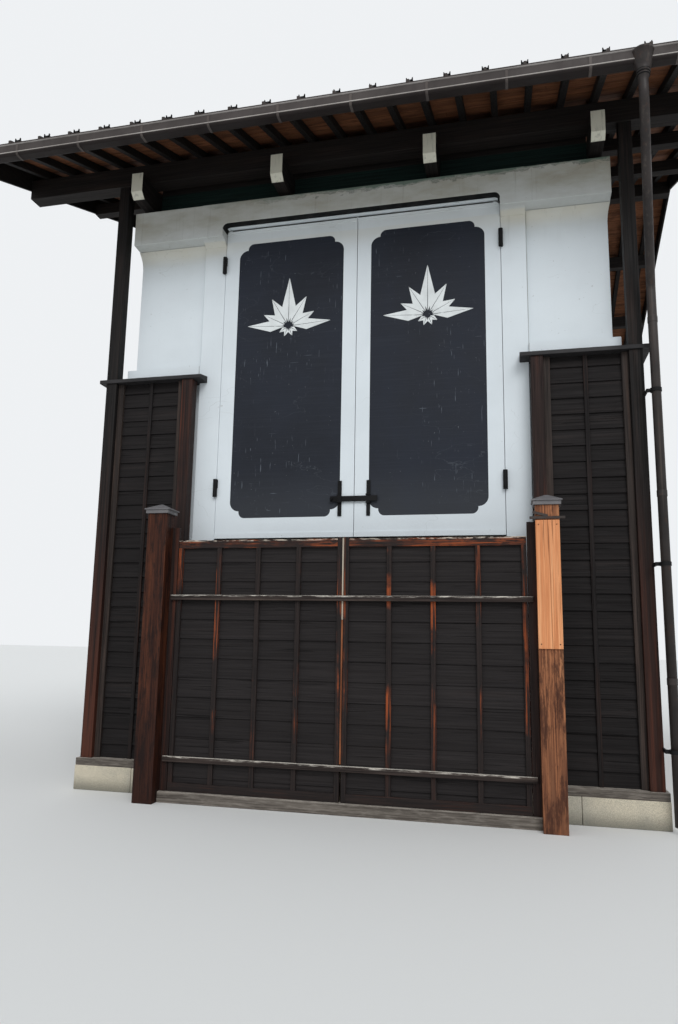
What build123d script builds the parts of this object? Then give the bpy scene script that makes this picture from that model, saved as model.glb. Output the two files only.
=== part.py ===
"""Float storehouse: a plastered earthen box with tall double doors under a roof on its own timber frame.

Millimetres. +X runs to the right along the front, +Y into the building, +Z up.
The origin is on the ground, under the middle of the doorway, in the plane of the door faces.
"""
from build123d import *
import os
from math import atan, cos

# Plastered box
WALL_HALF_WIDTH = 2580
WALL_THICKNESS = 260
WALL_TOP = 6440
RIDGE_Y = 3900
PANEL_SETBACK = 50
JAMB_WIDTH = 253
PLINTH_HEIGHT = 240
PLINTH_PROJECTION = 35
FLOOR_THICKNESS = 100
CEILING_THICKNESS = 100
LEDGE_HEIGHT = 110
LEDGE_PROJECTION = 70

# Plaster cornice band under the eaves
CORNICE_RETURN = 27
CORNICE_PROJECTION = 140
CORNICE_TOP_GAP = 55
CORNICE_FACE_HEIGHT = 395
COVE_HEIGHT = 190
COVE_BOW = 0.36
COVE_LIFT = 0.12

# Doorway and door leaves
DOORWAY_HALF_WIDTH = 1520
HEAD_DEPTH = 304
HEAD_CORNER_RADIUS = 60
STOP_WIDTH = 60
STOP_DROP = 86
LEAF_CLEARANCE = 5
LEAF_HEAD_CLEARANCE = 26
LEAF_THICKNESS = 90
LEAF_ABOVE_SKIRT = 75
MEETING_GAP = 6
MEETING_BEVEL = 12
LEAF_RIM_HEIGHT = 40
LEAF_RIM_PROJECTION = 10
LEAF_FOOT_HEIGHT = 55
LEAF_FOOT_PROJECTION = 8
SILL_BAR_HEIGHT = 175
SILL_BAR_CLEARANCE = 10
SILL_BAR_FRONT = 20
SILL_BAR_DEPTH = 180

# Black panel with stepped round corners
PANEL_INNER_EDGE = 152
PANEL_SIDE_MARGIN = 165
PANEL_FOOT_MARGIN = 215
PANEL_HEAD_MARGIN = 180
PANEL_SMALL_ARC = 65
PANEL_LARGE_ARC = 100
PANEL_NOTCH = 9
PANEL_RECESS = 12
PANEL_SINK = 4

# Hinges
HINGE_AXIS_FORWARD = 28
LOWER_HINGE_RISE = 545
UPPER_HINGE_DROP = 420
HINGE_KNUCKLE_RADIUS = 23
HINGE_KNUCKLE_HEIGHT = 95
HINGE_PIN_RADIUS = 8
HINGE_PIN_CLEARANCE = 0.08
HINGE_FLAP_LENGTH = 16
HINGE_FLAP_THICKNESS = 8
HINGE_FLAP_START = 4

# Bolt
BOLT_PLATE_CENTRE = 150
BOLT_PLATE_WIDTH = 40
BOLT_PLATE_HEIGHT = 370
BOLT_PLATE_THICKNESS = 15
BOLT_RUNNING_GAP = 5
BOLT_HALF_LENGTH = 245
BOLT_RISE = 150
BOLT_HEIGHT = 55
BOLT_THICKNESS = 16
BOLT_KNOB_RADIUS = 14
BOLT_KNOB_LENGTH = 26
BOLT_KNOB_INSET = 15

# Outer timber frame and boarding
FRAME_MARGIN = 235
FRAME_FRONT = -170
GROUND_SILL_HEIGHT = 70
GROUND_SILL_PROJECTION = 30
POST_WIDTH = 125
TRIM_POST_CLEARANCE = 7
TRIM_POST_WIDTH = 120
BOARD_BACK = 110
BOARD_THIN = 20
BOARD_THICK = 36
BOARD_EXPOSURE = 157
DRIP_CAP_BOTTOM = 4325
DRIP_CAP_LIP = 40
DRIP_CAP_RISE = 45
DRIP_CAP_OVERHANG = 20
DRIP_CAP_END_OVERHANG = 75
DRIP_CAP_INNER_OVERHANG = 100
DRIP_CAP_JOINT = 2

# Skirting in front of the doors
SKIRT_FACE = -455
SKIRT_BOARD_THICKNESS = 25
SKIRT_STILE_THICKNESS = 25
SKIRT_STILE_WIDTH = 46
SKIRT_TOP = 2510
SKIRT_STILE_RISE = 14
SKIRT_RAIL_DEPTH = 80
SKIRT_CENTRE_GAP = 20
SKIRT_BAYS = 4
SKIRT_SIDE_CLEARANCE = 5
SIDE_MEMBER_WIDTH = 75
SIDE_MEMBER_TOP = 2640
SILL_HEIGHT = 100
SILL_FORWARD = 45
SILL_WIDTH = 110
RAIL_THICKNESS = 35
RAIL_HEIGHT = 50
RAIL_END_GAP = 30
RAIL_CENTRES = (400, 1940)

# Capped posts, name board and iron strap
SIGN_POST_MARGIN = 255
SIGN_POST_WIDTH = 205
SIGN_POST_DEPTH = 180
SIGN_POST_FRONT = -600
SIGN_POST_TOP = 2770
POST_CAP_OVERHANG = 18
POST_CAP_SKIRT = 36
POST_CAP_LIP = 13
POST_CAP_LIP_HEIGHT = 10
POST_CAP_RISE = 55
POST_CAP_PEAK = 24
STRAP_BOTTOM = 2642
STRAP_HEIGHT = 22
STRAP_THICKNESS = 5
STRAP_BAR_THICKNESS = 14
STRAP_EAR = 50
STRAP_TIE_WIDTH = 40
STRAP_TAIL_INSET = 25
STRAP_TAIL_LENGTH = 135
STRAP_TAIL_SLOPE = 16
BOARD_HEIGHT = 1120
BOARD_TOP_GAP = 12
BOARD_PLATE_THICKNESS = 20

# Roof frame
ROOF_SLOPE = 0.38
VERGE_OVERHANG = 1185
BEAM_COUNT = 4
BEAM_INSET = 105
BEAM_WIDTH = 130
BEAM_HEIGHT = 280
BEAM_END = -390
BEAM_END_CHAMFER = 60
PLATE_FRONT = -190
PLATE_WIDTH = 180
PLATE_HEIGHT = 240
PURLIN_STATIONS = (1230, 2565)
PURLIN_WIDTH = 120
PURLIN_HEIGHT = 150
RIDGE_BEAM_WIDTH = 150
RIDGE_BEAM_HEIGHT = 220
STRUT_WIDTH = 105
INFILL_SETBACK = 90
INFILL_THICKNESS = 25
RAFTER_END = -1120
RAFTER_WIDTH = 65
RAFTER_HEIGHT = 85
RAFTER_PITCH = 330
RIDGE_JOINT = 10
ROOF_BOARD_THICKNESS = 18
ROOF_BOARD_END = -1150
FASCIA_THICKNESS = 25
FASCIA_DROP = 28

# Sheet-metal roofing
SHEET_THICKNESS = 8
SHEET_OVERHANG = 30
SHEET_DRIP = 36
SHEET_SIDE_OVERHANG = 20
SEAM_PITCH = 355
SEAM_WIDTH = 26
SEAM_HEIGHT = 28
RIDGE_CAP_HALF_WIDTH = 190
RIDGE_CAP_THICKNESS = 10
RIDGE_CAP_BOX_WIDTH = 120
RIDGE_CAP_BOX_HEIGHT = 70
BARGE_THICKNESS = 30
BARGE_DROP = 130
SNOW_STOP_Y = -1060
SNOW_STOP_WIDTH = 70
SNOW_STOP_BAR_HEIGHT = 22
SNOW_STOP_EAR_HEIGHT = 50
SNOW_STOP_EAR_WIDTH = 20
SNOW_STOP_LENGTH = 50

# Gutters and downpipe
GUTTER_GAP = 15
GUTTER_WIDTH = 125
GUTTER_RISE = 150
GUTTER_DEPTH = 120
GUTTER_WALL = 5
GUTTER_CORNER = 30
GUTTER_STRAP_PITCH = 710
GUTTER_STRAP_END_GAP = 100
GUTTER_STRAP_PAST_HOPPER = 270
GUTTER_STRAP_WIDTH = 24
GUTTER_STRAP_THICKNESS = 4
PIPE_RADIUS = 45
PIPE_TOP_INSET = 55
PIPE_STAND_OFF = 70
PIPE_Y = -300
PIPE_FOOT = 60
PIPE_DROP = 110
PIPE_BEND_RISE = 550
PIPE_BEND_RADIUS = 160
HOPPER_WIDTH = 185
HOPPER_DEPTH = 150
HOPPER_HEIGHT = 150
PIPE_ARM_THICKNESS = 12
PIPE_RING_HEIGHT = 34
PIPE_RING_GAP = 0.3
PIPE_RING_WALL = 6
PIPE_RING_HEIGHTS = (650, 2250, 3850)

# Widths worked out from the sizes above
JAMB_EDGE = DOORWAY_HALF_WIDTH + JAMB_WIDTH
CORNICE_HALF_WIDTH = WALL_HALF_WIDTH + CORNICE_RETURN
FRAME_HALF_WIDTH = WALL_HALF_WIDTH + FRAME_MARGIN
ROOF_HALF_WIDTH = FRAME_HALF_WIDTH + VERGE_OVERHANG
PANEL_OUTER_EDGE = DOORWAY_HALF_WIDTH - PANEL_SIDE_MARGIN
TRIM_POST_EDGE = JAMB_EDGE + TRIM_POST_CLEARANCE
DRIP_CAP_INNER_END = TRIM_POST_EDGE - DRIP_CAP_INNER_OVERHANG
SIGN_POST_INNER = DOORWAY_HALF_WIDTH + SIGN_POST_MARGIN
RAIL_HALF_LENGTH = SIGN_POST_INNER - RAIL_END_GAP
OUTER_BEAM = WALL_HALF_WIDTH - BEAM_INSET
BEAM_CENTRES = [OUTER_BEAM * (2 * number / (BEAM_COUNT - 1) - 1) for number in range(BEAM_COUNT)]
PIPE_TOP_X = FRAME_HALF_WIDTH - PIPE_TOP_INSET
PIPE_X = FRAME_HALF_WIDTH + PIPE_STAND_OFF

# Heights and depths worked out from the sizes above
CORNICE_TOP = WALL_TOP - CORNICE_TOP_GAP
CORNICE_LOWER_EDGE = CORNICE_TOP - CORNICE_FACE_HEIGHT
COVE_FOOT = CORNICE_LOWER_EDGE - COVE_HEIGHT
DOOR_HEAD = WALL_TOP - HEAD_DEPTH
POST_FOOT = PLINTH_HEIGHT + GROUND_SILL_HEIGHT
BOARD_BOTTOM = STRAP_BOTTOM - BOARD_TOP_GAP - BOARD_HEIGHT
LEAF_BOTTOM = SKIRT_TOP + LEAF_ABOVE_SKIRT
LEDGE_BOTTOM = DRIP_CAP_BOTTOM + DRIP_CAP_LIP + DRIP_CAP_RISE
SHEET_END = ROOF_BOARD_END - SHEET_OVERHANG
GUTTER_BACK = ROOF_BOARD_END - GUTTER_GAP
GUTTER_TOP = WALL_TOP + GUTTER_RISE
WALL_INNER_X = WALL_HALF_WIDTH - WALL_THICKNESS
WALL_INNER_Y = PANEL_SETBACK + WALL_THICKNESS
STOP_EDGE = DOORWAY_HALF_WIDTH - STOP_WIDTH
STOP_FACE = LEAF_THICKNESS + LEAF_CLEARANCE
LEAF_TOP = DOOR_HEAD - LEAF_HEAD_CLEARANCE
PANEL_BOTTOM = LEAF_BOTTOM + PANEL_FOOT_MARGIN
PANEL_TOP = LEAF_TOP - PANEL_HEAD_MARGIN
HINGE_HEIGHTS = (LEAF_BOTTOM + LOWER_HINGE_RISE, LEAF_TOP - UPPER_HINGE_DROP)
BOLT_BOTTOM = PANEL_BOTTOM + BOLT_RISE
LEAF_INNER = MEETING_GAP / 2
LEAF_OUTER = DOORWAY_HALF_WIDTH - LEAF_CLEARANCE
POST_BACK = FRAME_FRONT + POST_WIDTH
BOX_BACK = 2 * RIDGE_Y - PANEL_SETBACK
FRAME_BACK = 2 * RIDGE_Y - FRAME_FRONT
BOARD_FRONT_Y = FRAME_FRONT + BOARD_BACK
BEAM_TOP = WALL_TOP + BEAM_HEIGHT
RAFTER_BASE = BEAM_TOP + PLATE_HEIGHT
SIDES = (-1, 1)


def rafter_plane(y):
    """Height of the underside of the front rafters."""
    return RAFTER_BASE + ROOF_SLOPE * (y - PLATE_FRONT)


def across(thickness):
    """Height of a layer on the slope, for its thickness square to the slope."""
    return thickness / cos(atan(ROOF_SLOPE))


def back(y):
    """The same place on the rear slope."""
    return 2 * RIDGE_Y - y


def patch(x0, x1, y0, y1):
    """Rectangle between two opposite corners in the sketch that is open."""
    with Locations(((x0 + x1) / 2, (y0 + y1) / 2)):
        Rectangle(abs(x1 - x0), abs(y1 - y0))


def write(piece, label):
    """Name a finished piece and save it."""
    piece.part.label = label
    export_step(piece.part, f"parts/{label}.step")


os.makedirs("parts", exist_ok=True)

# Foundation ring with a gap at the doorway
ring_half = FRAME_HALF_WIDTH + PLINTH_PROJECTION
ring_front = FRAME_FRONT - PLINTH_PROJECTION
with BuildPart() as foundation:
    with BuildSketch(Plane.XY):
        patch(-ring_half, ring_half, ring_front, back(ring_front))
        with Locations((0, RIDGE_Y)):
            Rectangle(2 * WALL_INNER_X, BOX_BACK - PANEL_SETBACK - 2 * WALL_THICKNESS, mode=Mode.SUBTRACT)
        with Locations((0, (ring_front + WALL_INNER_Y) / 2)):
            Rectangle(2 * DOORWAY_HALF_WIDTH, WALL_INNER_Y - ring_front, mode=Mode.SUBTRACT)
    extrude(amount=PLINTH_HEIGHT)
write(foundation, "foundation")

# Earthen floor, running out through the doorway
with BuildPart() as floor:
    with BuildSketch(Plane.XY):
        patch(-WALL_INNER_X, WALL_INNER_X, WALL_INNER_Y, back(WALL_INNER_Y))
        patch(-DOORWAY_HALF_WIDTH, DOORWAY_HALF_WIDTH, ring_front, WALL_INNER_Y)
    extrude(amount=FLOOR_THICKNESS)
write(floor, "floor")

# Front walls with their raised jambs, each with a stop for its door leaf
with BuildPart() as front_wall_right:
    with BuildSketch(Plane.XY.offset(PLINTH_HEIGHT)):
        with BuildLine():
            Polyline(
                (DOORWAY_HALF_WIDTH, 0),
                (JAMB_EDGE, 0),
                (JAMB_EDGE, PANEL_SETBACK),
                (WALL_HALF_WIDTH, PANEL_SETBACK),
                (WALL_HALF_WIDTH, WALL_INNER_Y),
                (STOP_EDGE, WALL_INNER_Y),
                (STOP_EDGE, STOP_FACE),
                (DOORWAY_HALF_WIDTH, STOP_FACE),
                close=True,
            )
        make_face()
    extrude(amount=WALL_TOP - PLINTH_HEIGHT)
    with BuildSketch(Plane.XY.offset(LEDGE_BOTTOM)):
        patch(JAMB_EDGE, WALL_HALF_WIDTH + LEDGE_PROJECTION, PANEL_SETBACK - LEDGE_PROJECTION, PANEL_SETBACK)
    extrude(amount=LEDGE_HEIGHT)
write(front_wall_right, "front_wall_right")

with BuildPart() as front_wall_left:
    mirror(front_wall_right.part, about=Plane.YZ)
write(front_wall_left, "front_wall_left")

# Lintel with a rounded head in front and a lower stop behind
with BuildPart() as front_lintel:
    with BuildSketch(Plane.XZ):
        patch(-DOORWAY_HALF_WIDTH, DOORWAY_HALF_WIDTH, DOOR_HEAD - HEAD_CORNER_RADIUS, WALL_TOP)
        with BuildSketch(mode=Mode.SUBTRACT) as head_shape:
            patch(-DOORWAY_HALF_WIDTH, DOORWAY_HALF_WIDTH, LEAF_BOTTOM, DOOR_HEAD)
            fillet(head_shape.vertices().group_by(Axis.Y)[-1], HEAD_CORNER_RADIUS)
    extrude(amount=-STOP_FACE)
    with BuildSketch(Plane.XZ.offset(-STOP_FACE)):
        patch(-STOP_EDGE, STOP_EDGE, DOOR_HEAD - STOP_DROP, WALL_TOP)
    extrude(amount=STOP_FACE - WALL_INNER_Y)
write(front_lintel, "front_lintel")

# Side walls and rear wall
with BuildPart() as right_wall:
    with BuildSketch(Plane.XY.offset(PLINTH_HEIGHT)):
        patch(WALL_INNER_X, WALL_HALF_WIDTH, WALL_INNER_Y, back(WALL_INNER_Y))
    extrude(amount=WALL_TOP - PLINTH_HEIGHT)
    with BuildSketch(Plane.XY.offset(LEDGE_BOTTOM)):
        patch(WALL_HALF_WIDTH, WALL_HALF_WIDTH + LEDGE_PROJECTION, PANEL_SETBACK, BOX_BACK)
    extrude(amount=LEDGE_HEIGHT)
write(right_wall, "right_wall")

with BuildPart() as left_wall:
    mirror(right_wall.part, about=Plane.YZ)
write(left_wall, "left_wall")

with BuildPart() as back_wall:
    with BuildSketch(Plane.XY.offset(PLINTH_HEIGHT)):
        patch(-WALL_HALF_WIDTH, WALL_HALF_WIDTH, BOX_BACK - WALL_THICKNESS, BOX_BACK)
    extrude(amount=WALL_TOP - PLINTH_HEIGHT)
    with BuildSketch(Plane.XY.offset(LEDGE_BOTTOM)):
        ledge_half = WALL_HALF_WIDTH + LEDGE_PROJECTION
        patch(-ledge_half, ledge_half, BOX_BACK, BOX_BACK + LEDGE_PROJECTION)
    extrude(amount=LEDGE_HEIGHT)
write(back_wall, "back_wall")

# Earthen ceiling between the walls
with BuildPart() as ceiling:
    with BuildSketch(Plane.XY.offset(WALL_TOP - CEILING_THICKNESS)):
        patch(-WALL_INNER_X, WALL_INNER_X, WALL_INNER_Y, back(WALL_INNER_Y))
    extrude(amount=CEILING_THICKNESS)
write(ceiling, "ceiling")


def cornice_section(face):
    """Closed outline of the band, from the wall plane out to its face, with the cove under it."""
    Line((face, CORNICE_TOP), (-CORNICE_PROJECTION, CORNICE_TOP))
    Line((-CORNICE_PROJECTION, CORNICE_TOP), (-CORNICE_PROJECTION, CORNICE_LOWER_EDGE))
    ThreePointArc(
        (-CORNICE_PROJECTION, CORNICE_LOWER_EDGE),
        (-CORNICE_PROJECTION * COVE_BOW, (CORNICE_LOWER_EDGE + COVE_FOOT) / 2 + CORNICE_PROJECTION * COVE_LIFT),
        (0, COVE_FOOT),
    )
    if face > 0:
        Line((0, COVE_FOOT), (face, COVE_FOOT))
    Line((face, COVE_FOOT), (face, CORNICE_TOP))


# Plaster cornice in front, cut out round the door head, and its plain twin at the rear
with BuildPart() as cornice_front:
    with BuildSketch(Plane.YZ.offset(-JAMB_EDGE)):
        with BuildLine():
            cornice_section(0)
        make_face()
    extrude(amount=2 * JAMB_EDGE)
    for start in (-CORNICE_HALF_WIDTH, JAMB_EDGE):
        with BuildSketch(Plane.YZ.offset(start)):
            with BuildLine():
                cornice_section(PANEL_SETBACK)
            make_face()
        extrude(amount=CORNICE_HALF_WIDTH - JAMB_EDGE)
    with BuildSketch(Plane.XZ) as head_cut:
        patch(-DOORWAY_HALF_WIDTH, DOORWAY_HALF_WIDTH, LEAF_BOTTOM, DOOR_HEAD)
        fillet(head_cut.vertices().group_by(Axis.Y)[-1], HEAD_CORNER_RADIUS)
    extrude(amount=CORNICE_PROJECTION, mode=Mode.SUBTRACT)
write(cornice_front, "cornice_front")

with BuildPart() as cornice_back:
    with BuildSketch(Plane.YZ.offset(-CORNICE_HALF_WIDTH)):
        with BuildLine():
            cornice_section(PANEL_SETBACK)
        make_face()
    extrude(amount=2 * CORNICE_HALF_WIDTH)
    mirror(about=Plane.XZ.offset(-RIDGE_Y), mode=Mode.REPLACE)
write(cornice_back, "cornice_back")

# Timber bar that the leaves close on, hidden behind the skirting
sill_bar_top = LEAF_BOTTOM - SILL_BAR_CLEARANCE
with BuildPart() as door_sill:
    with BuildSketch(Plane.XY.offset(sill_bar_top - SILL_BAR_HEIGHT)):
        patch(-STOP_EDGE, STOP_EDGE, SILL_BAR_FRONT, SILL_BAR_FRONT + SILL_BAR_DEPTH)
        patch(-DOORWAY_HALF_WIDTH, DOORWAY_HALF_WIDTH, SILL_BAR_FRONT, STOP_FACE)
    extrude(amount=SILL_BAR_HEIGHT)
write(door_sill, "door_sill")

# Outline of the black panel: a small arc, a notch and a larger arc at each corner
with BuildSketch(Plane.XZ) as panel_outline:
    width = PANEL_OUTER_EDGE - PANEL_INNER_EDGE
    height = PANEL_TOP - PANEL_BOTTOM
    half_x = width / 2
    half_z = height / 2
    corner_x = half_x - PANEL_LARGE_ARC
    step_z = half_z - PANEL_SMALL_ARC
    with Locations(((PANEL_INNER_EDGE + PANEL_OUTER_EDGE) / 2, (PANEL_BOTTOM + PANEL_TOP) / 2)):
        with BuildSketch(mode=Mode.PRIVATE) as quarter:
            with BuildLine():
                Line((0, 0), (0, half_z))
                Line((0, half_z), (corner_x - PANEL_SMALL_ARC, half_z))
                CenterArc((corner_x - PANEL_SMALL_ARC, step_z), PANEL_SMALL_ARC, 0, 90)
                Line((corner_x, step_z), (corner_x, step_z - PANEL_NOTCH))
                CenterArc((corner_x, step_z - PANEL_NOTCH - PANEL_LARGE_ARC), PANEL_LARGE_ARC, 0, 90)
                Line((half_x, step_z - PANEL_NOTCH - PANEL_LARGE_ARC), (half_x, 0))
                Line((half_x, 0), (0, 0))
            make_face()
            mirror(about=Plane.XZ)
            mirror(about=Plane.YZ)
        add(quarter.sketch)

# Right door leaf, with its rim, foot band and the recess for the panel
with BuildPart() as right_door:
    with BuildSketch(Plane.XZ) as leaf_outline:
        patch(LEAF_INNER, LEAF_OUTER, LEAF_BOTTOM, LEAF_TOP)
        head_corner = leaf_outline.vertices().group_by(Axis.Y)[-1].sort_by(Axis.X)[-1]
        fillet(head_corner, HEAD_CORNER_RADIUS - LEAF_CLEARANCE)
    extrude(amount=-LEAF_THICKNESS)
    with BuildSketch(Plane.XZ):
        add(leaf_outline.sketch)
        with Locations(((LEAF_INNER + LEAF_OUTER) / 2, LEAF_TOP - LEAF_RIM_HEIGHT / 2)):
            Rectangle(LEAF_OUTER - LEAF_INNER, LEAF_RIM_HEIGHT, mode=Mode.INTERSECT)
    extrude(amount=LEAF_RIM_PROJECTION)
    with BuildSketch(Plane.XZ):
        patch(LEAF_INNER, LEAF_OUTER, LEAF_BOTTOM, LEAF_BOTTOM + LEAF_FOOT_HEIGHT)
    extrude(amount=LEAF_FOOT_PROJECTION)
    with BuildSketch(Plane.XZ):
        add(panel_outline.sketch)
    extrude(amount=-PANEL_RECESS, mode=Mode.SUBTRACT)
    with BuildSketch(Plane.XY.offset(LEAF_BOTTOM)):
        with BuildLine():
            Polyline(
                (LEAF_INNER, 0),
                (LEAF_INNER + MEETING_BEVEL, LEAF_THICKNESS),
                (LEAF_INNER, LEAF_THICKNESS),
                close=True,
            )
        make_face()
    extrude(amount=LEAF_TOP - LEAF_BOTTOM, mode=Mode.SUBTRACT)
write(right_door, "right_door")

with BuildPart() as left_door:
    mirror(right_door.part, about=Plane.YZ)
write(left_door, "left_door")

with BuildPart() as right_door_panel:
    with BuildSketch(Plane.XZ.offset(-PANEL_RECESS)):
        add(Plane.XZ.offset(-PANEL_RECESS) * Plane.XZ.to_local_coords(panel_outline.sketch))
    extrude(amount=PANEL_RECESS - PANEL_SINK)
write(right_door_panel, "right_door_panel")

with BuildPart() as left_door_panel:
    mirror(right_door_panel.part, about=Plane.YZ)
write(left_door_panel, "left_door_panel")

# Hinges: the upper knuckle turns with the leaf on a pin held by the lower one
with BuildPart() as right_hinges:
    for centre in HINGE_HEIGHTS:
        with BuildSketch(Plane.XY.offset(centre)):
            with Locations((DOORWAY_HALF_WIDTH, -HINGE_AXIS_FORWARD)):
                Circle(HINGE_KNUCKLE_RADIUS)
            flap_root = DOORWAY_HALF_WIDTH - HINGE_FLAP_START
            patch(flap_root, flap_root - HINGE_FLAP_LENGTH, -HINGE_FLAP_THICKNESS, 0)
            patch(flap_root, flap_root - HINGE_FLAP_THICKNESS, -HINGE_AXIS_FORWARD, 0)
            with Locations((DOORWAY_HALF_WIDTH, -HINGE_AXIS_FORWARD)):
                Circle(HINGE_PIN_RADIUS + HINGE_PIN_CLEARANCE, mode=Mode.SUBTRACT)
        extrude(amount=HINGE_KNUCKLE_HEIGHT)
write(right_hinges, "right_hinges")

with BuildPart() as left_hinges:
    mirror(right_hinges.part, about=Plane.YZ)
write(left_hinges, "left_hinges")

with BuildPart() as hinge_pins:
    for centre in HINGE_HEIGHTS:
        with BuildSketch(Plane.XY.offset(centre - HINGE_KNUCKLE_HEIGHT)):
            for side in SIDES:
                flap_root = side * (DOORWAY_HALF_WIDTH + HINGE_FLAP_START)
                flap_end = flap_root + side * HINGE_FLAP_LENGTH
                with Locations((side * DOORWAY_HALF_WIDTH, -HINGE_AXIS_FORWARD)):
                    Circle(HINGE_KNUCKLE_RADIUS)
                patch(flap_root, flap_end, -HINGE_FLAP_THICKNESS, 0)
                patch(flap_root, flap_root + side * HINGE_FLAP_THICKNESS, -HINGE_AXIS_FORWARD, 0)
        extrude(amount=HINGE_KNUCKLE_HEIGHT)
        with BuildSketch(Plane.XY.offset(centre)):
            for side in SIDES:
                with Locations((side * DOORWAY_HALF_WIDTH, -HINGE_AXIS_FORWARD)):
                    Circle(HINGE_PIN_RADIUS)
        extrude(amount=HINGE_KNUCKLE_HEIGHT)
write(hinge_pins, "hinge_pins")

# Bolt: two upright irons and the bar that crosses the meeting line
for side, label, thickness in (
    (-1, "left_bolt_plate", BOLT_PLATE_THICKNESS),
    (1, "right_bolt_plate", BOLT_PLATE_THICKNESS - BOLT_RUNNING_GAP),
):
    with BuildPart() as bolt_plate:
        with BuildSketch(Plane.XY.offset(PANEL_BOTTOM)):
            with Locations((side * BOLT_PLATE_CENTRE, -thickness / 2)):
                Rectangle(BOLT_PLATE_WIDTH, thickness)
        extrude(amount=BOLT_PLATE_HEIGHT)
    write(bolt_plate, label)

with BuildPart() as bolt_bar:
    with BuildSketch(Plane.XZ.offset(BOLT_PLATE_THICKNESS)):
        patch(-BOLT_HALF_LENGTH, BOLT_HALF_LENGTH, BOLT_BOTTOM, BOLT_BOTTOM + BOLT_HEIGHT)
    extrude(amount=BOLT_THICKNESS)
    with BuildSketch(Plane.XZ.offset(BOLT_PLATE_THICKNESS + BOLT_THICKNESS)):
        with Locations((BOLT_KNOB_INSET - BOLT_HALF_LENGTH, BOLT_BOTTOM + BOLT_HEIGHT / 2)):
            Circle(BOLT_KNOB_RADIUS)
    extrude(amount=BOLT_KNOB_LENGTH)
write(bolt_bar, "bolt_bar")

# Skirting: a sill on the ground, two side members, two boarded panels and two long rails
sill_front = SKIRT_FACE - SILL_FORWARD
board_face = SKIRT_FACE + SKIRT_STILE_THICKNESS
panel_back = board_face + SKIRT_BOARD_THICKNESS
with BuildPart() as skirt_sill:
    with BuildSketch(Plane.XY):
        patch(-SIGN_POST_INNER, SIGN_POST_INNER, sill_front, sill_front + SILL_WIDTH)
    extrude(amount=SILL_HEIGHT)
write(skirt_sill, "skirt_sill")

member_inner = SIGN_POST_INNER - SIDE_MEMBER_WIDTH
with BuildPart() as skirt_side_members:
    with BuildSketch(Plane.XY.offset(SILL_HEIGHT)):
        for side in SIDES:
            patch(side * member_inner, side * SIGN_POST_INNER, SKIRT_FACE, panel_back)
    extrude(amount=SIDE_MEMBER_TOP - SILL_HEIGHT)
write(skirt_side_members, "skirt_side_members")

skirt_inner = SKIRT_CENTRE_GAP / 2
skirt_outer = member_inner - SKIRT_SIDE_CLEARANCE
bay = (skirt_outer - skirt_inner - SKIRT_STILE_WIDTH) / SKIRT_BAYS
with BuildPart() as right_skirt_panel:
    with BuildSketch(Plane.XZ.offset(-panel_back)):
        patch(skirt_inner, skirt_outer, SILL_HEIGHT, SKIRT_TOP)
    extrude(amount=SKIRT_BOARD_THICKNESS)
    with BuildSketch(Plane.XZ.offset(-board_face)):
        patch(skirt_inner, skirt_outer, SKIRT_TOP - SKIRT_RAIL_DEPTH, SKIRT_TOP)
        patch(skirt_inner, skirt_outer, SILL_HEIGHT, SILL_HEIGHT + SKIRT_RAIL_DEPTH)
        for number in range(SKIRT_BAYS + 1):
            edge = skirt_inner + number * bay
            patch(edge, edge + SKIRT_STILE_WIDTH, SILL_HEIGHT, SKIRT_TOP)
        patch(skirt_inner, skirt_inner + SKIRT_STILE_WIDTH, SKIRT_TOP, SKIRT_TOP + SKIRT_STILE_RISE)
    extrude(amount=SKIRT_STILE_THICKNESS)
write(right_skirt_panel, "right_skirt_panel")

with BuildPart() as left_skirt_panel:
    mirror(right_skirt_panel.part, about=Plane.YZ)
write(left_skirt_panel, "left_skirt_panel")

with BuildPart() as skirt_rails:
    with BuildSketch(Plane.XZ.offset(-SKIRT_FACE)):
        for centre in RAIL_CENTRES:
            patch(-RAIL_HALF_LENGTH, RAIL_HALF_LENGTH, centre - RAIL_HEIGHT / 2, centre + RAIL_HEIGHT / 2)
    extrude(amount=RAIL_THICKNESS)
write(skirt_rails, "skirt_rails")

# Capped posts at both ends of the skirting
post_outer = SIGN_POST_INNER + SIGN_POST_WIDTH
post_back = SIGN_POST_FRONT + SIGN_POST_DEPTH
post_centre = (SIGN_POST_INNER + post_outer) / 2
with BuildPart() as sign_posts:
    with BuildSketch(Plane.XY):
        for side in SIDES:
            patch(side * SIGN_POST_INNER, side * post_outer, SIGN_POST_FRONT, post_back)
    extrude(amount=SIGN_POST_TOP)
write(sign_posts, "sign_posts")

cap_width = SIGN_POST_WIDTH + 2 * POST_CAP_OVERHANG
cap_depth = SIGN_POST_DEPTH + 2 * POST_CAP_OVERHANG
lip_bottom = SIGN_POST_TOP + POST_CAP_SKIRT
lip_top = lip_bottom + POST_CAP_LIP_HEIGHT
with BuildPart() as post_caps:
    for side in SIDES:
        centre = (side * post_centre, (SIGN_POST_FRONT + post_back) / 2)
        with BuildSketch(Plane.XY.offset(SIGN_POST_TOP)):
            with Locations(centre):
                Rectangle(cap_width, cap_depth)
        extrude(amount=POST_CAP_SKIRT)
        with BuildSketch(Plane.XY.offset(lip_bottom)):
            with Locations(centre):
                Rectangle(cap_width + 2 * POST_CAP_LIP, cap_depth + 2 * POST_CAP_LIP)
        extrude(amount=POST_CAP_LIP_HEIGHT)
        with BuildSketch(Plane.XY.offset(lip_top)):
            with Locations(centre):
                Rectangle(cap_width + 2 * POST_CAP_LIP, cap_depth + 2 * POST_CAP_LIP)
        with BuildSketch(Plane.XY.offset(lip_top + POST_CAP_RISE)):
            with Locations(centre):
                Rectangle(POST_CAP_PEAK, POST_CAP_PEAK)
        loft()
write(post_caps, "post_caps")

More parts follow.
